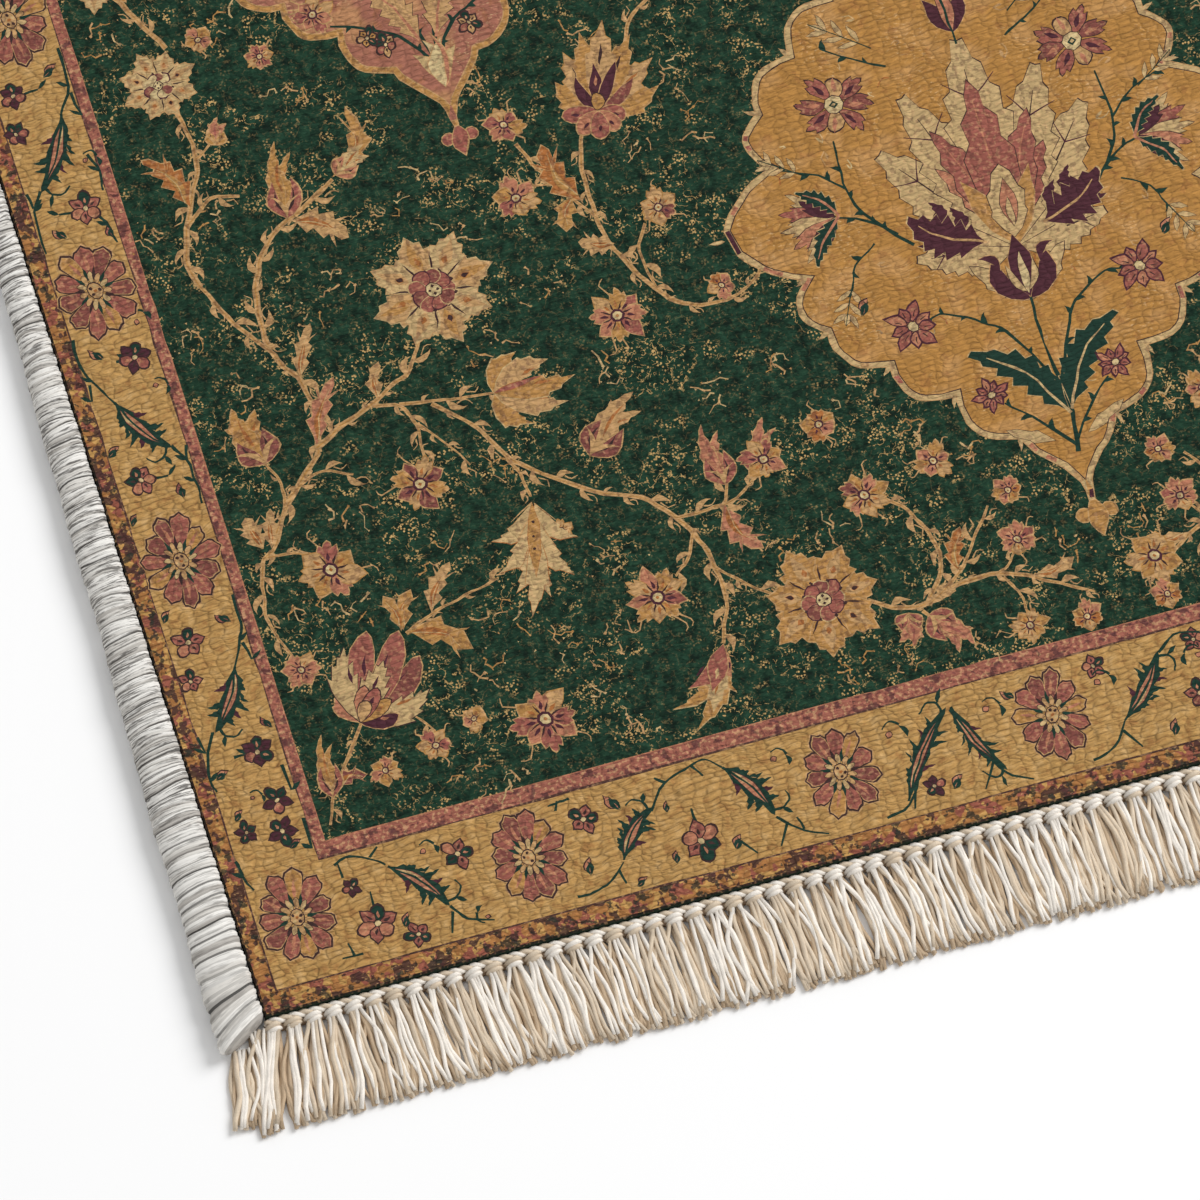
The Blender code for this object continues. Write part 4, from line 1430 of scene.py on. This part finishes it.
def winding(spots, outline):
    """How many times an outline runs round each spot, the spots being sorted by height."""
    start, stop = outline, np.roll(outline, -1, axis=0)
    turns = np.zeros(len(spots), int)
    low = np.searchsorted(spots[:, 1], np.minimum(start[:, 1], stop[:, 1]))
    high = np.searchsorted(spots[:, 1], np.maximum(start[:, 1], stop[:, 1]))
    for side in np.flatnonzero(high > low):
        (x0, y0), (x1, y1) = start[side], stop[side]
        span = slice(low[side], high[side])
        lean = (x1 - x0) * (spots[span, 1] - y0) - (spots[span, 0] - x0) * (y1 - y0)
        if y1 > y0:
            turns[span] += lean > 0
        else:
            turns[span] -= lean < 0
    return turns


def crosses(outline, half_size):
    """Whether any side of the outline comes into a rectangle set round the middle."""
    beyond = np.roll(outline, -1, axis=0)
    over = (np.maximum(outline, beyond) > -half_size) & (np.minimum(outline, beyond) < half_size)
    return bool(over.all(axis=1).any())


def cut_tile(patches, low, high):
    """Cut the drawing inside one rectangle into flat faces that each hold one yarn."""
    middle, half_size = (low + high) / 2, (high - low) / 2
    # Where no patch lies, at the face's outer rim, the base colour is the near-black painted gap shade.
    base_yarn, cutting = YARN_INDEX["near black"], []
    for outline, yarn, least, most in patches:
        if (least >= high).any() or (most <= low).any():
            continue
        outline = outline - middle
        if crosses(outline, half_size):
            cutting.append((outline, yarn))
        elif winding(np.zeros((1, 2)), outline)[0]:
            base_yarn, cutting = yarn, []
    points, edges, count = [rectangle(low, high) - middle], [], 4
    for outline, _ in cutting:
        ring = np.arange(count, count + len(outline))
        points.append(outline)
        edges += np.stack([ring, np.roll(ring, -1)], axis=1).tolist()
        count += len(outline)
    flat, _, faces, *_ = delaunay_2d_cdt([Vector(point) for point in np.vstack(points)], edges,
                                         [(0, 1, 2, 3)], 1, 1e-4, False)
    flat, faces = np.array([tuple(point) for point in flat]), np.array(faces)
    spots = flat[faces].mean(axis=1)
    kept = np.flatnonzero((abs(spots) < half_size).all(axis=1))
    faces = faces[kept[np.argsort(spots[kept, 1])]]
    used, faces = np.unique(faces, return_inverse=True)
    flat, faces = flat[used], faces.reshape(-1, 3)
    spots = flat[faces].mean(axis=1)
    yarns = np.full(len(faces), base_yarn)
    for outline, yarn in cutting:
        least, most = outline.min(axis=0), outline.max(axis=0)
        start, stop = np.searchsorted(spots[:, 1], (least[1], most[1]))
        across = spots[start:stop, 0]
        near = start + np.flatnonzero((across > least[0]) & (across < most[0]))
        yarns[near[winding(spots[near], outline) != 0]] = yarn
    return merge_alike(flat, faces, yarns, middle)


def merge_alike(flat, faces, yarns, middle):
    """Join neighbouring faces of one yarn, and drop the points that no longer shape anything."""
    mesh = bpy.data.meshes.new("cut")
    mesh.from_pydata(np.column_stack([flat, np.zeros(len(flat))]), [], faces.tolist())
    mesh.polygons.foreach_set("material_index", yarns)
    work = bmesh.new()
    work.from_mesh(mesh)
    bmesh.ops.dissolve_limit(work, angle_limit=math.radians(MERGE_ANGLE), use_dissolve_boundaries=False,
                             verts=work.verts, edges=work.edges, delimit={"MATERIAL"})
    work.to_mesh(mesh)
    work.free()
    kept = np.empty(len(mesh.vertices) * 3)
    mesh.vertices.foreach_get("co", kept)
    merged = [list(face.vertices) for face in mesh.polygons]
    merged_yarns = np.array([face.material_index for face in mesh.polygons])
    bpy.data.meshes.remove(mesh)
    return kept.reshape(-1, 3)[:, :2] + middle, merged, merged_yarns


def face_height(flat):
    """The woven face is level but for its rounded rim."""
    from_edge = np.minimum(HALF_WIDTH - abs(flat[:, 0]), HALF_LENGTH - abs(flat[:, 1]))
    return FACE_TOP - EDGE_DROP * np.clip(1 - from_edge / EDGE_ROUNDING, 0, 1) ** 2


def tile_sides(flat, low, high):
    """The four upright sides of a tile, from its lower corners up to the points along its rim."""
    sides = []
    for side, (axis, level) in enumerate(((1, low[1]), (0, high[0]), (1, high[1]), (0, low[0]))):
        on_side = np.flatnonzero(abs(flat[:, axis] - level) < 1e-3)
        on_side = on_side[np.argsort(flat[on_side, 1 - axis])]
        if side < 2:
            on_side = on_side[::-1]
        sides.append([len(flat) + side, len(flat) + (side + 1) % 4] + on_side.tolist())
    return sides


def face_strip(number, patches, palette, material):
    """One lengthwise strip of the woven face, as closed thin tiles laid end to end."""
    size = np.array([2 * HALF_WIDTH / FACE_STRIPS, 2 * HALF_LENGTH / BAKE_TILES])
    # The tiles' walls along the rug and their bottoms take the near-black painted gap shade; the walls across
    # the rug take the dark green of the ends.
    end, side = YARN_INDEX["end green"], YARN_INDEX["near black"]
    points, faces, colours, places, count = [], [], [], [], 0
    for tile in range(BAKE_TILES):
        low = [-HALF_WIDTH, -HALF_LENGTH] + size * (number, tile)
        high = low + size
        flat, cut, yarns = cut_tile(patches, low, high)
        under = rectangle(low, high)
        solid = np.vstack([np.column_stack([flat, face_height(flat)]),
                           np.column_stack([under, np.full(4, FACE_TOP - FACE_DEPTH)])])
        closing = tile_sides(flat, low, high) + [[len(flat) + corner for corner in (3, 2, 1, 0)]]
        share = (solid[:, :2] - low) / size
        column = (tile + 0.01 + 0.98 * share[:, 0]) / BAKE_TILES
        plan = np.column_stack([column, 0.02 + 0.975 * share[:, 1]])
        tucked = np.column_stack([column, 0.012 * share[:, 1]])
        places += [plan[face] for face in cut] + [tucked[face] for face in closing]
        points.append(solid)
        faces += [[corner + count for corner in face] for face in cut + closing]
        colours.append(palette[np.append(yarns, (end, side, end, side, side))])
        count += len(solid)
    return add_piece(f"rug_face_{number + 1}", np.vstack(points), faces, np.vstack(colours),
                     {"OFBake": np.vstack(places)}, material)


def backing_piece(material):
    """The plain slab under the woven face."""
    outline = rectangle((-HALF_WIDTH, -HALF_LENGTH), (HALF_WIDTH, HALF_LENGTH))
    corners = [(x, y, z) for z in (0, FACE_TOP - FACE_DEPTH) for x, y in outline]
    faces = [(3, 2, 1, 0), (4, 5, 6, 7), (0, 1, 5, 4), (1, 2, 6, 5), (2, 3, 7, 6), (3, 0, 4, 7)]
    # The long sides are painted near black as the shade in the gap under the binding; the ends are the dark
    # green edge.
    plain, side, end = linear_colour(150, 138, 116), linear_colour(34, 30, 26), linear_colour(32, 50, 38)
    colours = [plain, plain, end, side, end, side]
    return add_piece("rug_backing", corners, faces, colours, {}, material)


# The cut ends of strands take the yarn's finish from this far along it, in millimetres.
CAP_PLACE = 20


class Skein:
    """Strands of yarn gathered into one piece."""

    def __init__(self):
        self.points, self.quads, self.colours, self.plans, self.winds = [], [], [], [], []
        self.caps, self.cap_colours = [], []
        self.count = 0

    def tube(self, rings, colours, along, unrolled):
        """Join closed rings of points into a tube with a cap at each end."""
        steps, sides = rings.shape[:2]
        ring, side = (part.reshape(-1, 1) for part in np.indices((steps - 1, sides)))
        step, turn = ring + [0, 1, 1, 0], side + [0, 0, 1, 1]
        self.points.append(rings.reshape(-1, 3))
        self.quads.append(step * sides + turn % sides + self.count)
        self.winds.append(np.stack([turn / sides, along[step]], axis=-1).reshape(-1, 2))
        self.plans.append(np.stack(unrolled(turn / sides, step), axis=-1).reshape(-1, 2))
        self.colours.append(np.repeat(colours[:steps - 1], sides, axis=0))
        first = np.arange(sides) + self.count
        self.caps += [first.tolist(), (first[::-1] + (steps - 1) * sides).tolist()]
        self.cap_colours += [colours[0], colours[steps - 2]]
        self.count += steps * sides

    def strand(self, route, radius, colour, sides, squash=1, phase=0, cell=(0, 0, 1, 1)):
        """One strand along a route; its cell is the place it has on the piece's flat plan."""
        along = unit(np.gradient(route, axis=0))
        side = unit(np.cross(along, (0, 0, 1)))
        top = np.cross(side, along)
        angle = FULL_TURN * np.arange(sides) / sides + phase
        radius = np.broadcast_to(radius, len(route))[:, None, None]
        rings = route[:, None] + radius * (np.cos(angle)[:, None] * side[:, None]
                                           + squash * np.sin(angle)[:, None] * top[:, None])
        travelled = np.concatenate([[0], np.cumsum(np.linalg.norm(np.diff(route, axis=0), axis=1))])
        left, low, wide, tall = cell
        self.tube(rings, np.broadcast_to(colour, (len(route), 4)), travelled,
                  lambda turn, step: (left + wide * turn, low + tall * (step / (len(route) - 1))))

    def piece(self, name, material, slot, turned):
        """All strands as one piece, turned half round the rug's middle for its far or right side."""
        cap_places = np.zeros((sum(len(cap) for cap in self.caps), 2))
        maps = {"OFBake": np.vstack(self.plans + [cap_places]),
                "strand": np.vstack(self.winds + [cap_places + (0, CAP_PLACE)])}
        made = add_piece(name, np.vstack(self.points), np.vstack(self.quads).tolist() + self.caps,
                         np.vstack(self.colours + self.cap_colours), maps, material)
        made.data.shade_smooth()
        if turned:
            made.data.transform(Matrix.Rotation(math.pi, 4, "Z"))
        return made


# ---- the wrapped side bindings

BINDING_WIDTH, BINDING_HEIGHT = 15.5, 12
BINDING_END_WIDTH, BINDING_END_HEIGHT = 27, 14
THICKENING_LENGTH = 410
END_TURN_LENGTH, END_TURN_SLOPE, END_ROUNDING = 34, 0.75, 8
WRAP_PITCH, WRAP_END_PITCH, COARSE_LENGTH = 4.3, 9.6, 130
WRAP_SLOPE, WRAP_END_SLOPE, WRAP_UNEVENNESS = -0.16, 0.66, 0.035
WRAP_SIDES = 14
CORD_FLATNESS = 0.85
SEAT_GAP = 0.3
PLAN_COLUMNS = 8

# Across one wrap: how deep each ply sits, and the crevice that parts the wraps; the tone is painted shade,
# darkest in that crevice and in the grooves between plies.
WRAP_PLIES = table(
    "share sink ply tone",
    (0.00, 1.5, 0, 0.2), (0.09, 0.42, 0, 0.86), (0.2, 0.12, 0, 1), (0.31, 0.3, 1, 0.8), (0.42, 0, 1, 1),
    (0.54, 0, 1, 1), (0.66, 0.26, 2, 0.8), (0.78, 0.12, 2, 1), (0.91, 0.46, 2, 0.86),
)
BINDING_YARNS = (linear_colour(238, 235, 229), linear_colour(221, 217, 210), linear_colour(188, 183, 176))


def wrap_rows(chance, angle):
    """Every row of the cord in turn: its place, its depth, its yarn darkened by painted shade in the
    crevices, and how its wrap wanders.
    """
    rows, sinks, colours, wobbles = [], [], [], []
    foot, wobble = -HALF_LENGTH, np.zeros(WRAP_SIDES)
    while foot < HALF_LENGTH:
        from_end = HALF_LENGTH - abs(foot)
        near_end = max(0, 1 - from_end / COARSE_LENGTH)
        pitch = (WRAP_PITCH + (WRAP_END_PITCH - WRAP_PITCH) * near_end) * chance.uniform(0.78, 1.22)
        lift = chance.uniform(-0.4, 0.3)
        yarns = [chance.choices(BINDING_YARNS, (56, 30, 14))[0] for _ in range(3)]
        following = (chance.uniform(-0.9, 0.9) * np.cos(angle)
                     + chance.uniform(-0.5, 0.5) * np.sin(2 * angle + 1)
                     + chance.uniform(-0.35, 0.35) * np.sin(3 * angle + chance.uniform(0, 6)))
        depth = chance.uniform(0.55, 1.1)
        painted_groove_shade = chance.choice((0.12, 0.3, 0.6, 1)) + 0.3 * near_end
        for row in WRAP_PLIES:
            rows.append(foot + row.share * pitch)
            wobbles.append(wobble + (following - wobble) * row.share)
            relief = row.sink * depth * (0.5 + 0.13 * pitch)
            sinks.append(relief * (1 + 0.9 * near_end) - lift if row.sink < 1 else relief)
            # Painted shade: the tone darkens the yarn in the crevice between wraps and in the grooves between
            # plies, but not at the cord's very ends.
            shade = row.tone ** painted_groove_shade if from_end > 6 else 1
            colours.append((*(shade * part for part in yarns[row.ply][:3]), 1))
        wobble = following
        foot += pitch
    return np.clip(rows, -HALF_LENGTH, HALF_LENGTH), np.array(sinks), np.array(colours), np.array(wobbles)


def cord_section(y):
    """The cord's width, height and slope at each place, and how far a wrap may wander there."""
    from_end = HALF_LENGTH - abs(y)
    turn = 1 - smooth_step(from_end / END_TURN_LENGTH)
    thicker = np.clip(1 - from_end / THICKENING_LENGTH, 0, 1)
    wave = np.sin(y * 0.061) * np.sin(y * 0.023 + 1.3) * WRAP_UNEVENNESS
    rounded = np.sqrt(np.clip(1 - (1 - np.clip(from_end / END_ROUNDING, 0, 1)) ** 2, 0, 1))
    width = (BINDING_WIDTH + (BINDING_END_WIDTH - BINDING_WIDTH) * thicker) * (1 + wave)
    height = (BINDING_HEIGHT + (BINDING_END_HEIGHT - BINDING_HEIGHT) * thicker) * (1 + wave / 2)
    slope = WRAP_SLOPE * (1 - turn) + np.sign(y) * WRAP_END_SLOPE * turn
    return width * (0.62 + 0.38 * rounded), height * (0.5 + 0.5 * rounded), slope, np.clip(from_end / 6, 0, 1)


def binding_piece(name, material, turned):
    """A side cord wrapped in plied yarn, thicker and turned aslant at its two ends."""
    angle = FULL_TURN * (np.arange(WRAP_SIDES) + 0.5) / WRAP_SIDES
    y, sink, colours, wobble = wrap_rows(random.Random(19 if turned else 17), angle)
    width, height, slope, settle = (part[:, None] for part in cord_section(y))
    flattened = np.sign(np.sin(angle)) * abs(np.sin(angle)) ** CORD_FLATNESS
    outward = width / 2 - (width / 2 - sink[:, None] * 0.8) * np.cos(angle)
    up = height / 2 + (height / 2 - sink[:, None]) * flattened
    along = y[:, None] + slope * outward + wobble * settle
    rings = np.stack([-HALF_WIDTH - SEAT_GAP - outward, along, np.maximum(up, 0.05)], axis=-1)
    per_column = math.ceil(len(y) / PLAN_COLUMNS)

    def folded(turn, step):
        """The long cord's flat plan is folded into columns."""
        column = step[:, :1] // per_column
        return (column + 0.94 * turn) / PLAN_COLUMNS, (step - column * per_column) / per_column * 0.97 + 0.01

    cord = Skein()
    cord.tube(rings, colours, y, folded)
    return cord.piece(name, material, "binding_yarn", turned)


# ---- the knotted fringes

TASSELS = 96
HEADER_OVERHANG, HEADER_DEPTH = 22.5, 7.2
HEADER_REACH = HALF_WIDTH + HEADER_OVERHANG
STRAIGHT_REACH = HALF_WIDTH + 1
TASSEL_PITCH = 2 * HEADER_REACH / TASSELS
RUG_END = -HALF_LENGTH - SEAT_GAP
LOCK_LEAN, LOCK_LEAN_DRIFT = 0.085, 0.03
CORNER_FAN_LEAN, CORNER_FAN_REACH = 0.335, 50
STRAND_STEPS, KNOT_STEPS = 9, 8

FRINGE_YARNS = table(
    "name colour",
    ("white", linear_colour(245, 237, 226)), ("cream", linear_colour(220, 202, 178)),
    ("tan", linear_colour(196, 172, 143)), ("brown", linear_colour(134, 112, 90)),
)
FRINGE = {row.name: np.array(row.colour) for row in FRINGE_YARNS}

# How a tassel starts under a knot, and beyond the knots where it is tucked under the binding's end.
TASSEL_ROOTS = table(
    "lean inwards tucked half_width longer",
    (1, 0, 1.8, 3.1, 0), (0.6, 2, 9, 4.6, 1.5),
)

# The strands of a tassel: how many lie in a layer, how long they are, and how high they rest.
FRINGE_LAYERS = table(
    "strands length height radius sides yarns",
    (7, 50.5, 1, 1.15, 4, ("tan", "tan", "cream")), (5, 50.5, 2.3, 1.15, 5, ("cream", "tan", "tan")),
    (4, 49.5, 3.5, 1.15, 5, ("white", "white", "cream")),
)


def corner_drop(x):
    """How far the header stands off the rug's end, where it follows the aslant end of a binding."""
    return END_TURN_SLOPE * np.maximum(0, abs(x) - HALF_WIDTH + SEAT_GAP)


def fringe_lean(x):
    """How far a tassel leans sideways: all of them one way, fanning out at the corners."""
    left = math.exp(-(((x + HEADER_REACH) / CORNER_FAN_REACH) ** 2))
    right = math.exp(-(((x - HEADER_REACH) / CORNER_FAN_REACH) ** 2))
    return (LOCK_LEAN * (1 - left - right) + LOCK_LEAN_DRIFT * math.sin(0.031 * x)
            + CORNER_FAN_LEAN * (right - left))


def header_cord(fringe):
    """A flat core along the rug's end, and over it two strands wound round each other."""
    run = np.linspace(-STRAIGHT_REACH, STRAIGHT_REACH, 2 * TASSELS)
    core = np.column_stack([run, RUG_END - corner_drop(run) - 3.6, np.full_like(run, 1.4)])
    fringe.strand(core, 3.3, FRINGE["brown"], 6, 0.42, cell=(0, 0.985, 1, 0.008))
    run = np.linspace(-STRAIGHT_REACH, STRAIGHT_REACH, 7 * TASSELS)
    for yarn, start in (("cream", 0), ("white", math.pi)):
        turn = run * FULL_TURN / TASSEL_PITCH + start
        back = RUG_END - corner_drop(run)
        wound = np.column_stack([run, back - 1.7 + 0.8 * np.cos(turn), 3.9 + 0.9 * np.sin(turn)])
        fringe.strand(wound, 1.25, FRINGE[yarn], 5, cell=(0, 0.97, 1, 0.008))


def knot(fringe, chance, x, column):
    """Two slanted loops over the header, each thinner towards its ends."""
    back = RUG_END - corner_drop(x)
    swing = np.linspace(-1, 1, KNOT_STEPS)
    thickness = np.sin(np.linspace(0.5, math.pi - 0.5, KNOT_STEPS)) ** 0.5
    for loop in range(2):
        slant = swing * chance.uniform(0.6, 1.3)
        path = np.column_stack([x + swing * (4.3 - loop * 0.5), back - 3.9 - loop * 2.2 + slant,
                                0.9 + (3.7 - loop * 0.6) * np.sqrt(1 - swing ** 2 * 0.95)])
        yarn = FRINGE[chance.choice(("white", "white", "cream"))]
        fringe.strand(path, (1.65 - loop * 0.1) * thickness, yarn * chance.uniform(0.92, 1), 6,
                      cell=(column + 0.0006, 0.9 + loop * 0.022, 0.92 / TASSELS, 0.02))


def tassel(fringe, chance, x, column):
    """Layers of strands hanging from one place of the header down to the floor."""
    root = TASSEL_ROOTS[abs(x) > STRAIGHT_REACH]
    drop = corner_drop(x)
    lean = math.tan(fringe_lean(x) * root.lean + chance.uniform(-0.045, 0.045))
    middle = x - math.copysign(root.inwards, x)
    out = np.linspace(0, 1, STRAND_STEPS) ** 1.15
    spread = smooth_step(out / 0.42)
    bulge = 1 - 0.42 * out ** 1.2 + 0.16 * np.sin(np.clip(out / 0.5, 0, 1) * math.pi)
    cell_low = 0.005
    for layer in FRINGE_LAYERS:
        ends = ((np.arange(layer.strands) + 0.5) / layer.strands - 0.5) * 2
        order = sorted(range(layer.strands), key=lambda one: one + chance.uniform(-1.3, 1.3))
        for start, target in zip(ends, ends[order]):
            stop = target + chance.uniform(-0.3, 0.3)
            length = layer.length + chance.uniform(-3.4, 2) - drop + root.longer
            bend = chance.gauss(0, 2.6)
            sway = chance.uniform(0, 6.28)
            sideways = (start * root.half_width * (1 - spread) + stop * 5.5 * spread
                        + bend * np.sin(out * math.pi) + 1.2 * np.sin(out * 9 + sway) * out)
            radius = layer.radius * (0.86 + 0.26 * np.sin(out * math.pi * 0.9)) * chance.uniform(0.85, 1.15)
            height = np.maximum(layer.height * bulge + 0.45 * np.sin(out * 6 + sway) * out, radius + 0.02)
            back = RUG_END - drop - HEADER_DEPTH + root.tucked
            route = np.column_stack([middle + sideways + lean * length * out, back - length * out, height])
            tone = FRINGE[chance.choice(layer.yarns)] * chance.uniform(0.9, 1.04)
            tone[3] = 1
            fringe.strand(route, radius, tone, layer.sides, phase=chance.uniform(0, 1.2),
                          cell=(column + 0.0006, cell_low, 0.92 / TASSELS, 0.052))
            cell_low += 0.0555


def fringe_piece(name, material, turned):
    """A header of chained loops and slanted knots, with a tassel of strands under each knot."""
    chance = random.Random(29 if turned else 13)
    fringe = Skein()
    header_cord(fringe)
    for number in range(TASSELS):
        x = -HEADER_REACH + (number + 0.5) * TASSEL_PITCH
        if abs(x) <= STRAIGHT_REACH:
            knot(fringe, chance, x, number / TASSELS)
        tassel(fringe, chance, x, number / TASSELS)
    return fringe.piece(name, material, "fringe_yarn", turned)


# ---- the floor, light and camera


def plain_material(name, colour, roughness):
    material = bpy.data.materials.new(name)
    material.use_nodes = True
    shader = material.node_tree.nodes["Principled BSDF"]
    shader.inputs["Base Color"].default_value = colour
    shader.inputs["Roughness"].default_value = roughness
    return material


def set_stage():
    """A pale floor, an even studio round it, and one large soft light."""
    mesh = bpy.data.meshes.new("floor")
    outline = rectangle((-FLOOR_SIZE, -FLOOR_SIZE), (FLOOR_SIZE, FLOOR_SIZE))
    mesh.from_pydata([(x, y, 0) for x, y in outline], [], [(0, 1, 2, 3)])
    mesh.materials.append(plain_material("pale_floor", (0.93, 0.93, 0.93, 1), 0.9))
    floor = add_object("floor", mesh)
    floor.location.z = -0.0004
    world = bpy.data.worlds.new("studio")
    world.use_nodes = True
    world.node_tree.nodes["Background"].inputs["Color"].default_value = (1, 1, 1, 1)
    world.node_tree.nodes["Background"].inputs["Strength"].default_value = 0.615
    bpy.context.scene.world = world
    soft_light("key", (1.15, 0.42, 1.1), 9, 5.4, 610)
    bpy.context.scene.view_settings.view_transform = "Standard"
    return floor


AIM = Vector((-0.2424, -0.5991, 0.008))
CAMERA_RIGHT, CAMERA_UP = (0.959, -0.2835, 0), (0.2604, 0.8808, 0.3955)
CAMERA_BACK = (-0.1121, -0.3793, 0.9184)
FRAME_WIDTH = 0.5764
LENS_LENGTH, SENSOR_WIDTH = 1200, 36
FLOOR_SIZE = 60


def soft_light(name, direction, distance, size, power):
    lamp = bpy.data.lights.new(name, "AREA")
    lamp.shape = "DISK"
    lamp.size = size
    lamp.energy = power
    holder = add_object(name, lamp)
    toward_light = Vector(direction).normalized()
    holder.location = AIM + toward_light * distance
    holder.rotation_euler = toward_light.to_track_quat("Z", "Y").to_euler()
    holder.visible_camera = False


def set_camera():
    """A long lens looking down on the rug's near left corner."""
    lens = bpy.data.cameras.new("camera")
    lens.lens = LENS_LENGTH
    lens.sensor_width = SENSOR_WIDTH
    lens.clip_end = 100
    camera = add_object("camera", lens)
    axes = Matrix([Vector(axis).normalized() for axis in (CAMERA_RIGHT, CAMERA_UP, CAMERA_BACK)])
    place = AIM + axes[2] * FRAME_WIDTH * LENS_LENGTH / SENSOR_WIDTH
    camera.matrix_world = Matrix.Translation(place) @ axes.transposed().to_4x4()
    bpy.context.scene.camera = camera


# ---- the rug put together


def main():
    floor = set_stage()
    palette = np.array([(*linear_colour(row.red, row.green, row.blue)[:3], row.ground) for row in YARNS])
    patches = [(outline, yarn, outline.min(axis=0), outline.max(axis=0)) for outline, yarn in draw_rug()]
    woven = woven_face_finish()
    strips = [face_strip(number, patches, palette, woven) for number in range(FACE_STRIPS)]
    backing = backing_piece(backing_finish())
    binding_yarn, fringe_yarn = binding_finish(), fringe_finish()
    bindings = [binding_piece("binding_wrap_left", binding_yarn, False),
                binding_piece("binding_wrap_right", binding_yarn, True)]
    fringes = [fringe_piece("fringe_knots_south", fringe_yarn, False),
               fringe_piece("fringe_knots_north", fringe_yarn, True)]
    nodes = ("binding_left", "binding_right", "fringe_south", "fringe_north")
    for piece, node in zip(bindings + fringes, nodes):
        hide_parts(node)
    for piece in strips + [backing]:
        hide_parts("rug_body")
    set_camera()


main()
